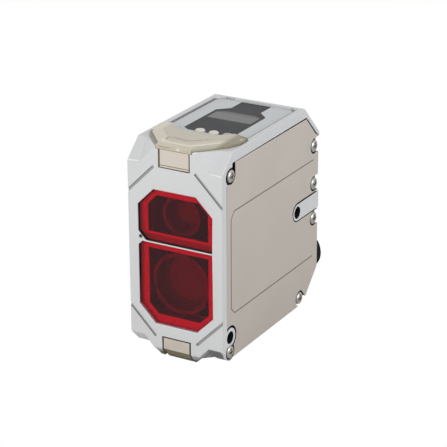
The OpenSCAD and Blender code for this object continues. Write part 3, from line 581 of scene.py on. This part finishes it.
def smoky_polycarbonate_top():
    """The upper light guide: milky ivory in its body, with a painted highlight along the bevel and
    a pale tab, painted shade in olive at the foot of its upright walls, and olive along its edges,
    where the eye looks along the plastic. Painted glints run along its rim and on a bubble near
    the tab. The wing on the cover's side lies in the case's shade, painted brown."""
    made, tree, shader = smoky_polycarbonate("smoky_polycarbonate_top")
    if not tree:
        return made
    c, (low, high) = colours(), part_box("light_guide_top")
    place = add(tree, "ShaderNodeTexCoord").outputs["Object"]
    wall_low, wall_high = high.z - 1.8 * MM, high.z - 0.6 * MM
    rim, right_of_wing = high.z - 0.32 * MM, (-5.3 * MM, 1.0)
    # Painted highlight on the bevel
    bevel = inside_box(tree, place, z=(wall_high, high.z - 0.04 * MM))
    over_tab = inside_box(tree, place, (OPEN[0], 4.9 * MM), OPEN, (0, 1.0))
    # Painted shade up the walls: olive at the foot, paler towards the rim
    wall = painted(tree, painted(tree, c.guide_shade, (over_tab, c.guide)),
                   (share_along(tree, place, "Z", high.z - 1.2 * MM, rim),
                    painted(tree, c.guide_wall, (over_tab, c.guide_bright))))
    upright = inside_box(tree, place, right_of_wing, OPEN, (wall_low, rim))
    glint = inside_box(tree, place, right_of_wing, OPEN, (rim, high.z - 0.2 * MM))
    wing = share_along(tree, place, "X", 8.9 * MM, 10.4 * MM)
    face = inside_box(tree, place, OPEN, (OPEN[0], FACE_Y + 3 * MM), (low.z, wall_low))
    ring = near_line(tree, place, (0.6 * MM, FACE_Y), (2.1 * MM, FACE_Y), 0.35 * MM,
                     (high.z - 1.5 * MM, high.z - 0.75 * MM))
    gleam = near_line(tree, place, (1.1 * MM, FACE_Y), (1.3 * MM, FACE_Y), 0.32 * MM,
                      (high.z - 1.4 * MM, high.z - 0.8 * MM))
    spot = near_line(tree, place, (12.0 * MM, FACE_Y + 12.6 * MM),
                     (12.3 * MM, FACE_Y + 13.1 * MM), 0.24 * MM, (wall_low, 1.0))
    shown = painted(tree, c.guide, (clouds(tree, place, 0.12), c.guide_shade),
                    (bevel, c.guide_bright), (upright, wall), (glint, c.guide_glint),
                    (wing, c.guide_brown), (face, c.guide_tab),
                    (top_guide_edges(tree, place), c.guide_dark),
                    (light_pipe_lines(tree, place), c.guide_line), (ring, c.guide_wall),
                    (gleam, c.guide_glint), (spot, c.guide_spot))
    tree.links.new(shown, shader.inputs["Base Color"])
    bump(tree, shader, place, 1.5 * MM, 0.004 * MM, detail=1)
    return made


def smoky_polycarbonate_low():
    """The small guide at the foot: ivory face, olive slope underneath in painted shade, and a dark
    outline.
    """
    made, tree, shader = smoky_polycarbonate("smoky_polycarbonate_low")
    if not tree:
        return made
    c, (low, high) = colours(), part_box("light_guide_low")
    place = add(tree, "ShaderNodeTexCoord").outputs["Object"]
    slope, side, line = BASE_Z + 1.85 * MM, 0.25 * MM, 0.16 * MM
    outline = inside_any(tree, place,
                         (OPEN, OPEN, (low.z, low.z + 0.8 * MM)),
                         ((OPEN[0], low.x + 1.0 * MM), OPEN, (low.z, slope)),
                         ((OPEN[0], low.x + side), OPEN, (low.z, high.z)),
                         ((high.x - side, OPEN[1]), OPEN, (low.z, high.z)),
                         (OPEN, OPEN, (high.z - line, OPEN[1])))
    # Painted shade on the slope that faces down
    shown = painted(tree, c.guide_tab, (clouds(tree, place, 0.5), c.guide_shade),
                    (inside_box(tree, place, z=(low.z, slope)), c.guide_edge),
                    (outline, c.guide_outline))
    tree.links.new(shown, shader.inputs["Base Color"])
    bump(tree, shader, place, 1.5 * MM, 0.004 * MM, detail=1)
    return made


def printed_sheet(name, base, roughness, node=None):
    """Printed polyester sheet: an even colour under a fine matt texture of a tenth of a
    millimetre. A named node's side edges get a fine dark line of painted shade, for the gap along
    its cut edge."""
    made, tree, shader = start_material(name, Roughness=roughness, Specular_IOR_Level=0.12)
    if tree:
        place, plain = tone(tree, shader, base, 0.05, 5 * MM, roughness)
        if node:
            low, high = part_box(node)
            inner = inside_box(tree, place, (low.x + 0.14 * MM, high.x - 0.14 * MM))
            tree.links.new(painted(tree, colours().panel_gap_shade, (inner, plain)),
                           shader.inputs["Base Color"])
        bump(tree, shader, place, 0.14 * MM, 0.003 * MM, detail=2)
    return made


def smoked_window():
    """Smoked hard-coated window of the unlit display: mid grey, smooth, and painted a little
    darker towards the rear, as a painted reflection."""
    made, tree, shader = start_material("smoked_window", Roughness=0.16, Specular_IOR_Level=0.15)
    if tree:
        screen, rear = colours().screen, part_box("display_window")[1].y
        place = add(tree, "ShaderNodeTexCoord").outputs["Object"]
        # Painted reflection: darker towards the rear
        depth = share_along(tree, place, "Y", rear - 2.2 * MM, rear - 0.4 * MM)
        shown = painted(tree, screen, (depth, tuple(c * 0.35 for c in screen)))
        tree.links.new(shown, shader.inputs["Base Color"])
        bump(tree, shader, place, 2 * MM, 0.001 * MM, detail=1)
    return made


def key_resin(name, base):
    """Moulded keys in matt resin, worn a little smoother in patches."""
    return even_finish(name, base, 0.05, 1.5 * MM, 0.45, 0.1 * MM, 0.002 * MM)


def solder_mask():
    """Glass-epoxy board under green solder mask, with the weave faintly telegraphing."""
    made, tree, shader = start_material("solder_mask", Roughness=0.35, Coat_Weight=0.3)
    if tree:
        place, _ = tone(tree, shader, colours().board, 0.15, 4 * MM, 0.35)
        yarn, full_turn = 0.5 * MM, 6.28
        weave = add(tree, "ShaderNodeTexWave", {"Vector": place, "Scale": 1 / yarn / full_turn,
                                                "Distortion": 0.4})
        relief = add(tree, "ShaderNodeBump", {"Height": weave.outputs["Fac"],
                                              "Distance": 0.003 * MM})
        tree.links.new(relief.outputs["Normal"], shader.inputs["Normal"])
    return made


def moulded_black(name, base, roughness):
    """Black moulded resin with a fine spark-eroded texture."""
    return even_finish(name, base, 0.15, 1.5 * MM, roughness, 0.12 * MM, 0.004 * MM)


def moulded_lens():
    """Clear moulded lens: polished, with a grey body tint and a coating against reflections, which
    its low IOR stands for."""
    return even_finish("moulded_lens", colours().lens, 0.01, 5 * MM, 0.02, steady=True, IOR=1.3,
                       Transmission_Weight=0.92)


def gold_plate():
    """Gold plate over nickel on pins and on the laser's can."""
    return even_finish("gold_plate", colours().gold, 0.06, 1 * MM, 0.22, 0.1 * MM, 0.001 * MM,
                       Metallic=1.0)


def lamp_resin():
    """Yellowish silicone over the indicator chips."""
    return even_finish("lamp_resin", colours().phosphor, 0.08, 0.6 * MM, 0.4)


def black_nickel():
    """Black nickel on the plug connector's brass: dark, warm, with a satin metal sheen."""
    return even_finish("black_nickel", colours().connector, 0.12, 2 * MM, 0.36, 0.15 * MM,
                       0.002 * MM, Metallic=0.7)


def finish_node(node, material):
    """Gives a CAD node that stays as it is its real material."""
    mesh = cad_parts[node].data
    mesh.materials.clear()
    mesh.materials.append(material)


def place_piece(name, mesh, body, slot, material, *nodes):
    """Puts a new piece on its body in place of the CAD nodes that it stands for."""
    mesh.materials.clear()
    mesh.materials.append(material)
    piece = bpy.data.objects.new(name, mesh)
    bpy.context.scene.collection.objects.link(piece)
    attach(piece, body)
    if nodes:
        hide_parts(*nodes)
    return piece


def merged_copy(node):
    """A node's mesh with its loose triangles joined and its flat faces made whole."""
    shape = bmesh.new()
    shape.from_mesh(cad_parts[node].data)
    bmesh.ops.remove_doubles(shape, verts=shape.verts, dist=0.001 * MM)
    bmesh.ops.dissolve_limit(shape, angle_limit=math.radians(0.3), verts=shape.verts,
                             edges=shape.edges)
    return shape


def soften(node, name, body, slot, material, radius, shrink=0.0, choose=None, sharp=32,
           crease=32, fit=None):
    """Rounds a node's edges: a joined copy of it gets a bevel of that radius along the edges that
    choose picks, or along every edge with more than the sharp angle. Edges over the crease angle
    that stay unrounded part the shading of their two faces, and big faces are shaded flat. What
    fit returns for the points, they are moved to first."""
    shape = merged_copy(node)
    if fit:
        for vertex, place in zip(shape.verts, fit(np.array([v.co for v in shape.verts]))):
            vertex.co = place
    mesh = bpy.data.meshes.new(name)
    weights = shape.edges.layers.float.new("bevel_weight_edge")
    for edge in shape.edges:
        angle = edge.calc_face_angle_signed(0) if edge.is_manifold else 0
        bent = abs(angle) > math.radians(sharp)
        edge[weights] = float(bent and (choose is None or choose(edge, angle)))
        edge.smooth = edge[weights] > 0 or abs(angle) < math.radians(min(sharp, crease))
    for face in shape.faces:
        area, corners = face.calc_area() / MM ** 2, len(face.verts)
        face.smooth = area < SMOOTH_FACE or corners <= 4 and area < SMOOTH_QUAD
    if shrink:
        shape.normal_update()
        for vertex in shape.verts:
            vertex.co -= vertex.normal * shrink
    shape.to_mesh(mesh)
    shape.free()
    piece = place_piece(name, mesh, body, slot, material, node)
    bevel = piece.modifiers.new("edges", "BEVEL")
    bevel.width = radius
    bevel.segments = 3
    bevel.limit_method = "WEIGHT"
    bevel.use_clamp_overlap = choose is None
    bevel.harden_normals = True
    bevel.miter_outer = "MITER_ARC" if choose is None else "MITER_SHARP"
    shading = piece.modifiers.new("shading", "WEIGHTED_NORMAL")
    shading.keep_sharp = True
    return piece


def opened_gaps(points):
    """The cover's points with its cut-outs opened a little: a point on the circle round a screw,
    the front ring or the tongue's end moves outwards along its radius, and the straight sides
    that run on to the rear edge move with it. The front edge's upper corner moves inwards too,
    and so does the rear slope, along which Y plus Z stays the same."""
    y, z = points[:, 1], points[:, 2]
    moved = points.copy()
    # Each one's middle, and in millimetres its radius and how far its upper and lower parts move
    openings = [(*HOLES[0], 3.05, 0.2, 0.2), (*HOLES[1], 2.6, 0.2, 0.03)]
    for name in SCREWS:
        low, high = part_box("cover_screw_" + name)
        upper = 0.03 if name == "rear_mid" else 0.12
        openings.append(((low.y + high.y) / 2, (low.z + high.z) / 2, 2.05, upper, 0.12))
    for middle_y, middle_z, radius, upper, lower in openings:
        dy, dz = y - middle_y, z - middle_z
        out = np.hypot(dy, dz)
        more = np.where(dz > 0, upper, lower) * MM
        round_part = abs(out - radius * MM) < 0.06 * MM
        scale = 1 + more / np.maximum(out, MM)
        moved[:, 1] = np.where(round_part, middle_y + dy * scale, moved[:, 1])
        moved[:, 2] = np.where(round_part, middle_z + dz * scale, moved[:, 2])
        straight = ~round_part & (dy > 1.9 * MM) & (dy < 12 * MM) & (
            abs(abs(dz) - radius * MM) < 0.02 * MM) & (middle_y > 30 * MM)
        moved[:, 2] = np.where(straight, z + np.sign(dz) * more, moved[:, 2])
    corner = (abs(y - 2.2 * MM) < 0.02 * MM) & (abs(z - 46.85 * MM) < 0.02 * MM)
    moved[:, 1] = np.where(corner, 2.8 * MM, moved[:, 1])
    slope = (abs(y + z - 88.05 * MM) < 0.03 * MM) & (y > 41 * MM)
    moved[:, 1:] = np.where(slope[:, None], moved[:, 1:] - 0.1 * MM, moved[:, 1:])
    return moved


def long_outer_edge(radius):
    """Picks the convex edges that are long enough, with long enough neighbours, to be rounded
    without the roundings running into each other, and leaves out the thin rib between the
    windows and the edges that end under the upper guide's corners."""
    room = 2.4 * radius
    rib_low, rib_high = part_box("window_lower")[1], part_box("window_upper")[0]
    corner = Vector((5.2 * MM, FACE_Y, CASE_HIGH.z))

    def pick(edge, angle):
        """True for a convex edge whose ends have room."""
        if angle <= 0 or edge.calc_length() < 4 * radius:
            return False
        middle = (edge.verts[0].co + edge.verts[1].co) / 2
        if rib_low.z < middle.z < rib_high.z and abs(middle.x) < rib_low.x:
            return False
        if any((Vector((abs(v.co.x), v.co.y, v.co.z)) - corner).length < 2 * MM
               for v in edge.verts):
            return False
        return all(other.calc_length() >= room
                   for vertex in edge.verts for other in vertex.link_edges)
    return pick


def grid_mesh(name, points, wrap=False):
    """A closed mesh from rows of points: each row is a ring, and the first and last rows are
    single points at the poles, or the last ring joins the first one again."""
    rows, columns = points.shape[:2]
    at = np.arange(rows * columns).reshape(rows, columns)
    if wrap:
        at = np.concatenate([at, at[:1]])
    turn = np.roll(at, -1, axis=1)
    quads = np.stack([at[:-1], turn[:-1], turn[1:], at[1:]], -1).reshape(-1, 4)
    mesh = bpy.data.meshes.new(name)
    mesh.from_pydata(points.reshape(-1, 3), [], quads)
    shape = bmesh.new()
    shape.from_mesh(mesh)
    bmesh.ops.remove_doubles(shape, verts=shape.verts, dist=0.0001 * MM)
    bmesh.ops.recalc_face_normals(shape, faces=shape.faces)
    shape.to_mesh(mesh)
    shape.free()
    mesh.shade_smooth()
    mesh.set_sharp_from_angle(angle=math.radians(35))
    return mesh


def round_rows(radius, height, turn):
    """Rings about the Z axis: a point has that radius and height at each angle of turn."""
    return np.stack([radius * np.cos(turn), radius * np.sin(turn), height + 0 * turn], -1)


def spun(profile, columns):
    """Rings about the Z axis: profile holds radius and height, row by row."""
    profile = np.array(profile)
    turn = np.linspace(0, 2 * math.pi, columns, endpoint=False)
    return round_rows(profile[:, :1], profile[:, 1:], turn)


def front_outline(node):
    """The corners of a plate's front face, in order round its middle."""
    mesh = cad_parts[node].data
    points = np.empty(3 * len(mesh.vertices))
    mesh.vertices.foreach_get("co", points)
    points = points.reshape(-1, 3)
    flat = points[points[:, 1] < points[:, 1].min() + 0.01 * MM][:, [0, 2]]
    corners = np.unique(np.round(flat / MM, 2), axis=0) * MM
    away = corners - corners.mean(axis=0)
    return corners[np.argsort(np.arctan2(away[:, 1], away[:, 0]))]


def moved_outline(outline, out):
    """An outline moved outwards: a corner moves along the sum of the normals of its two sides,
    divided by one plus their dot product, so that both sides move by the same distance."""
    side = np.roll(outline, -1, axis=0) - outline
    normal = np.stack([side[:, 1], -side[:, 0]], -1) / np.linalg.norm(side, axis=1)[:, None]
    before = np.roll(normal, 1, axis=0)
    return outline + out * (normal + before) / (1 + (normal * before).sum(axis=1))[:, None]


def bead_points(node):
    """The bead of black adhesive between a window's rim and its seat, which also stands for the
    shade along the window's edge: four rings, each one the window's outline moved in or out, at
    the bead's front and back. Its front lies deeper at the lower window's foot."""
    outline, front = front_outline(node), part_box(node)[0].y
    s = sizes()
    rings = ((s.bead_out, s.window_edge), (-s.bead_in, s.window_edge),
             (-s.bead_in, s.bead_deep), (s.bead_out, s.bead_deep))
    rows = []
    for out, deep in rings:
        ring = moved_outline(outline, out)
        lower = ring[:, 1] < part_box("window_lower")[0].z + 5 * MM
        set_back = np.where(lower & (deep < s.bead_deep), 0.5 * MM, 0)
        rows.append(np.stack([ring[:, 0], front + deep + set_back, ring[:, 1]], -1))
    return np.array(rows)


def screw_points(head_r, shank_l):
    """An M2 pan-head screw about Z, bearing face at zero: the shank's radius follows a helix,
    a triangle wave of height minus turn, and the head is a low dome with a cross cut into it."""
    columns, thread_rows, dome_rows = 72, 84, 44
    depth, s = 0.22 * MM, sizes()
    turn = np.linspace(0, 2 * math.pi, columns, endpoint=False)
    climb = np.linspace(-shank_l + 0.5 * MM, -0.3 * MM, thread_rows)[:, None]
    wave = 1 - np.abs((climb / s.screw_pitch - turn / (2 * math.pi)) % 1 * 2 - 1)
    shank = round_rows(s.shank_r - depth * (1 - wave), climb, turn)
    tip = spun([[0, -shank_l], [s.shank_r - 0.35 * MM, -shank_l]], columns)
    neck = spun([[s.shank_r, 0], [head_r - 0.08 * MM, 0], [head_r, 0.06 * MM],
                 [head_r, s.head_height * 0.42]], columns)
    share = np.sin(np.linspace(math.pi / 2, 0, dome_rows))[1:, None]
    dome = s.head_height * (0.42 + 0.58 * np.sqrt(1 - share ** 2.6))
    x, y = head_r * share * np.cos(turn), head_r * share * np.sin(turn)
    along, across = np.maximum(abs(x), abs(y)), np.minimum(abs(x), abs(y))
    wall = 0.07 * MM
    inside = np.clip((s.cross_width / 2 - across) / wall, 0, 1)
    inside = np.maximum(inside, np.clip((s.cross_width * 0.72 - np.hypot(x, y)) / wall, 0, 1))
    inside = inside * np.clip((s.cross_span / 2 - along) / wall, 0, 1)
    floor = s.cross_depth * (1 - 0.45 * along / (s.cross_span / 2))
    head = np.stack([x, y, dome - inside * floor], -1)
    return np.concatenate([tip, shank, neck, head])


def turned(points, order, place):
    """Turns a piece made about Z, by taking its axes in that order, and puts it in place."""
    return points[..., order] + np.array(place)


def shell_points():
    """The plug's shell about Z from its bearing face: one closed profile of spigot, O-ring groove,
    collar, thread and bore, carried round the axis. The thread's radius falls by a depth where a
    wave of height over pitch minus turn is low, and both ends run out at 45 degrees."""
    s, columns, cut, groove = sizes(), 96, 0.12 * MM, 0.9 * MM
    turn = np.linspace(0, 2 * math.pi, columns, endpoint=False)
    start, end = s.collar_l, s.collar_l + s.thread_l
    first_turn = start + 0.35 * MM
    climb = np.linspace(first_turn, end, int(14 * s.thread_l / s.thread_pitch))[:, None]
    wave = abs((climb / s.thread_pitch - turn / (2 * math.pi)) % 1 * 2 - 1)
    ridge = s.thread_depth * np.clip(wave * 1.25 - 0.12, 0, 1)
    root = s.thread_r - s.thread_depth
    ends = np.minimum(climb - first_turn, end - climb)
    low_ridge = np.minimum(ridge, np.maximum(ends, 0) * 0.9)
    radius = root + np.where(ends < s.thread_depth * 1.2, low_ridge, ridge)
    first = spun([
        [s.bore_r, -s.spigot_l + cut], [s.bore_r + cut, -s.spigot_l],
        [s.spigot_r - cut, -s.spigot_l], [s.spigot_r, -s.spigot_l + cut], [s.spigot_r, groove],
        [s.thread_r, groove], [s.thread_r, 0], [s.collar_r - cut, 0], [s.collar_r, cut],
        [s.collar_r, start - cut], [s.collar_r - cut, start], [root, start]], columns)
    last = spun([[s.bore_r + cut, end], [s.bore_r, end - cut]], columns)
    return np.concatenate([first, round_rows(radius, climb, turn), last])


def pin_points(radius, low, high):
    """A contact pin about Z: a straight shank whose ends are quarter ellipses of revolution."""
    bend = np.linspace(0, math.pi / 2, 7)
    tip = np.stack([radius * np.sin(bend), high - 0.5 * MM * (1 - np.cos(bend))], -1)
    foot = np.stack([radius * np.sin(bend), low + 0.2 * MM * (1 - np.cos(bend))], -1)
    return spun(np.concatenate([foot, tip[::-1]]), 24)


class SENSOR_OT_case(bpy.types.Operator):
    """Die casting with rounded outer edges and its satin nickel"""
    bl_idname = "sensor.case"
    bl_label = "Case"

    def execute(self, context):
        radius = sizes().case_edge
        soften("housing", "case_casting", "case", "case_silver", satin_zinc_casting(), radius,
               choose=long_outer_edge(radius), crease=16)
        return {"FINISHED"}


class SENSOR_OT_cover(bpy.types.Operator):
    """Blasted side cover, its six screws and its seal"""
    bl_idname = "sensor.cover"
    bl_label = "Side cover"

    def execute(self, context):
        soften("side_cover", "cover_sheet", "case", "cover_steel", blasted_stainless(),
               sizes().sheet_edge, fit=opened_gaps)
        finish_node("cover_gasket", nitrile_rubber())
        head_height = sizes().head_height
        for name in SCREWS:
            low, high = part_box("cover_screw_" + name)
            points = screw_points((high.y - low.y) / 2, high.x - low.x - head_height)
            seat = (high.x - head_height, (low.y + high.y) / 2, (low.z + high.z) / 2)
            mesh = grid_mesh("screw_" + name, turned(points, (2, 0, 1), seat))
            place_piece("screw_" + name, mesh, "case", "screw_steel", bright_stainless(),
                        "cover_screw_" + name)
        return {"FINISHED"}


class SENSOR_OT_windows(bpy.types.Operator):
    """The two red acrylic windows and their adhesive, a black bead that also stands for shade
    along their edges
    """
    bl_idname = "sensor.windows"
    bl_label = "Windows"

    def execute(self, context):
        # A black bead: adhesive, and painted shade along the windows' edges
        bead = moulded_black("window_adhesive_shade", colours().adhesive_shade, 0.6)
        for name in ("window_upper", "window_lower"):
            soften(name, name + "_acrylic", "case", "window_red", red_acrylic(),
                   sizes().window_edge, shrink=0.012 * MM)
            mesh = grid_mesh(name + "_bead", bead_points(name), wrap=True)
            place_piece(name + "_bead", mesh, "case", "gasket_rubber", bead)
        return {"FINISHED"}


class SENSOR_OT_light_guides(bpy.types.Operator):
    """The two smoky light guides"""
    bl_idname = "sensor.light_guides"
    bl_label = "Light guides"

    def execute(self, context):
        for name, plastic in (("light_guide_top", smoky_polycarbonate_top()),
                              ("light_guide_low", smoky_polycarbonate_low())):
            soften(name, name + "_moulding", "case", "guide_ivory", plastic,
                   sizes().guide_edge, shrink=0.008 * MM, sharp=12)
        return {"FINISHED"}


class SENSOR_OT_panel(bpy.types.Operator):
    """Printed sheets, display window and display"""
    bl_idname = "sensor.panel"
    bl_label = "Control panel"

    def execute(self, context):
        c = colours()
        finish_node("control_panel", printed_sheet("silver_polyester", c.panel, 0.42,
                                                    "control_panel"))
        finish_node("display_mask", printed_sheet("black_polyester", c.mask, 0.4))
        finish_node("display_window", smoked_window())
        finish_node("display_module", moulded_black("display_frame", c.chip, 0.3))
        return {"FINISHED"}


class SENSOR_OT_keys(bpy.types.Operator):
    """The three keys and their switches"""
    bl_idname = "sensor.keys"
    bl_label = "Keys"

    def execute(self, context):
        c = colours()
        pale = key_resin("pale_key_resin", c.key_pale)
        grey = key_resin("grey_key_resin", c.key_grey)
        for name, slot, resin in (("left", "button_white", pale), ("middle", "button_white", pale),
                                  ("right", "button_grey", grey)):
            node = "button_" + name
            soften(node, "key_" + name, node, slot, resin, sizes().key_edge)
        finish_node("button_switches", moulded_black("switch_resin", c.chip, 0.45))
        return {"FINISHED"}


class SENSOR_OT_optics(bpy.types.Operator):
    """Lenses, barrels, laser can and image sensor"""
    bl_idname = "sensor.optics"
    bl_label = "Optics"

    def execute(self, context):
        black = moulded_black("barrel_resin", colours().barrel, 0.5)
        for name in ("receiver", "emitter"):
            finish_node(name + "_barrel", black)
            finish_node(name + "_lens", moulded_lens())
        finish_node("laser_diode", gold_plate())
        finish_node("image_sensor", moulded_black("chip_resin", colours().chip, 0.35))
        return {"FINISHED"}


class SENSOR_OT_boards(bpy.types.Operator):
    """Circuit boards and indicator lamps"""
    bl_idname = "sensor.boards"
    bl_label = "Boards"

    def execute(self, context):
        for name in ("main", "display", "sensor", "laser", "top_led", "low_led"):
            finish_node(name + "_board", solder_mask())
        for node in ("top_leds", "low_led"):
            finish_node(node, lamp_resin())
        return {"FINISHED"}


class SENSOR_OT_connector(bpy.types.Operator):
    """Threaded shell, contact carrier, pins and O-ring of the plug connector"""
    bl_idname = "sensor.connector"
    bl_label = "Plug connector"

    def execute(self, context):
        s, along_y = sizes(), (1, 2, 0)
        low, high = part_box("connector_shell")
        middle = np.array([(low.x + high.x) / 2, low.y + s.spigot_l, (low.z + high.z) / 2])
        mesh = grid_mesh("plug_shell", turned(shell_points(), along_y, middle), wrap=True)
        place_piece("plug_shell", mesh, "case", "connector_black", black_nickel(),
                    "connector_shell")
        finish_node("connector_insert", moulded_black("carrier_resin", colours().carrier, 0.5))
        low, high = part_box("connector_pins")
        points = pin_points(s.pin_r, low.y - middle[1], high.y - middle[1])
        whole = bmesh.new()
        for quarter in (0.25, 0.75, 1.25, 1.75):
            x = s.pin_ring * math.cos(quarter * math.pi)
            z = s.pin_ring * math.sin(quarter * math.pi)
            pin = turned(points, along_y, middle + np.array([x, 0, z]))
            whole.from_mesh(grid_mesh("pin", pin))
        mesh = bpy.data.meshes.new("plug_pins")
        whole.to_mesh(mesh)
        whole.free()
        place_piece("plug_pins", mesh, "case", "pin_gold", gold_plate(), "connector_pins")
        finish_node("connector_seal", nitrile_rubber())
        return {"FINISHED"}


def seen_directly(tree, mirrored):
    """One where the camera or a view through glass looks, a given share where a mirror reflection
    looks, else zero."""
    path = add(tree, "ShaderNodeLightPath")
    gloss = add(tree, "ShaderNodeMath", {0: path.outputs["Is Glossy Ray"], 1: mirrored},
                operation="MULTIPLY")
    return joined(tree, [path.outputs["Is Camera Ray"], gloss.outputs[0],
                         path.outputs["Is Transmission Ray"]])


def white_room():
    """White surroundings: full white to the eye, a little less as light on the sensor."""
    world = bpy.data.worlds.new("white_room")
    world.use_nodes = True
    tree = world.node_tree
    back = tree.nodes["Background"]
    strength = add(tree, "ShaderNodeMapRange", {"Value": seen_directly(tree, 1.0), "To Min": 0.7,
                                                "To Max": 1.0})
    tree.links.new(strength.outputs["Result"], back.inputs["Strength"])
    back.inputs["Color"].default_value = (1, 1, 1, 1)
    bpy.context.scene.world = world


def white_floor():
    """A matt pale floor that glows towards the eye, so that only a faint shadow is left. A mirror
    reflection shows less of the glow and more of the shadow."""
    made, tree, shader = start_material("white_floor", Roughness=0.9, Specular_IOR_Level=0.1)
    shader.inputs["Base Color"].default_value = (0.65, 0.65, 0.65, 1)
    glow = add(tree, "ShaderNodeEmission", {"Strength": 1.0})
    mixed = add(tree, "ShaderNodeMixShader", {"Fac": seen_directly(tree, 0.4),
                                              1: shader.outputs[0], 2: glow.outputs[0]})
    tree.links.new(mixed.outputs[0], tree.nodes["Material Output"].inputs["Surface"])
    return made


def softbox(name, power, size, place, tint):
    """A square soft lamp that looks at the sensor."""
    lamp = bpy.data.lights.new(name, "AREA")
    lamp.energy, lamp.size, lamp.color = power, size, tint
    holder = bpy.data.objects.new(name, lamp)
    holder.location = place
    holder.rotation_euler = (VIEW_TARGET - Vector(place)).to_track_quat("-Z", "Y").to_euler()
    bpy.context.scene.collection.objects.link(holder)


def photo_camera():
    """The camera of the photograph: it looks back along a line at the azimuth and elevation."""
    a, e, r = VIEW_AZIMUTH, VIEW_ELEVATION, VIEW_ROLL
    back = Vector((math.sin(a) * math.cos(e), -math.cos(a) * math.cos(e), math.sin(e)))
    level = Vector((math.cos(a), math.sin(a), 0))
    upright = back.cross(level)
    right = level * math.cos(r) + upright * math.sin(r)
    up = upright * math.cos(r) - level * math.sin(r)
    data = bpy.data.cameras.new("photo_camera")
    data.sensor_width = SENSOR_WIDTH_MM
    data.lens = FOCAL_PX / PHOTO_WIDTH * SENSOR_WIDTH_MM
    data.clip_start, data.clip_end = 0.01, 10
    camera = bpy.data.objects.new("photo_camera", data)
    camera.matrix_world = Matrix((right, up, back)).transposed().to_4x4()
    camera.location = VIEW_TARGET + back * VIEW_DISTANCE
    bpy.context.scene.collection.objects.link(camera)
    bpy.context.scene.camera = camera


class SENSOR_OT_stage(bpy.types.Operator):
    """White floor, soft light and the photograph's camera"""
    bl_idname = "sensor.stage"
    bl_label = "Stage"

    def execute(self, context):
        half, level = 2.5, CAD_BOX[0].z - 0.02 * MM
        mesh = bpy.data.meshes.new("floor")
        mesh.from_pydata([(-half, -half, level), (half, -half, level), (half, half, level),
                          (-half, half, level)], [], [(0, 1, 2, 3)])
        mesh.materials.append(white_floor())
        floor = bpy.data.objects.new("floor", mesh)
        context.scene.collection.objects.link(floor)
        white_room()
        softbox("key", power=3.0, size=0.5, place=(-0.25, -0.74, 0.24), tint=(1.0, 0.99, 0.97))
        softbox("side", power=2.9, size=0.5, place=(0.79, 0.12, 0.15), tint=(0.97, 0.98, 1.0))
        photo_camera()
        context.scene.view_settings.view_transform = "Standard"
        return {"FINISHED"}


STEPS = (SENSOR_OT_case, SENSOR_OT_cover, SENSOR_OT_windows, SENSOR_OT_light_guides,
         SENSOR_OT_panel, SENSOR_OT_keys, SENSOR_OT_optics, SENSOR_OT_boards,
         SENSOR_OT_connector, SENSOR_OT_stage)


class SENSOR_PT_looks(bpy.types.Panel):
    """Lists the steps that dress the sensor"""
    bl_idname = "SENSOR_PT_looks"
    bl_label = "Laser Sensor"
    bl_space_type = "VIEW_3D"
    bl_region_type = "UI"
    bl_category = "Laser Sensor"

    def draw(self, context):
        for step in STEPS:
            self.layout.operator(step.bl_idname)


CLASSES = (SensorSizes, SensorColours, *STEPS, SENSOR_PT_looks)


def register():
    """Registers the classes and hangs their properties on the scene."""
    for made in CLASSES:
        bpy.utils.register_class(made)
    bpy.types.Scene.sensor_sizes = bpy.props.PointerProperty(type=SensorSizes)
    bpy.types.Scene.sensor_colours = bpy.props.PointerProperty(type=SensorColours)


def unregister():
    """Takes the properties and classes away again."""
    del bpy.types.Scene.sensor_colours
    del bpy.types.Scene.sensor_sizes
    for made in reversed(CLASSES):
        bpy.utils.unregister_class(made)


def main():
    """Dresses the sensor step by step."""
    register()
    for step in STEPS:
        group, action = step.bl_idname.split(".")
        getattr(getattr(bpy.ops, group), action)()
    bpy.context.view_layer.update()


if __name__ == "__main__":
    main()
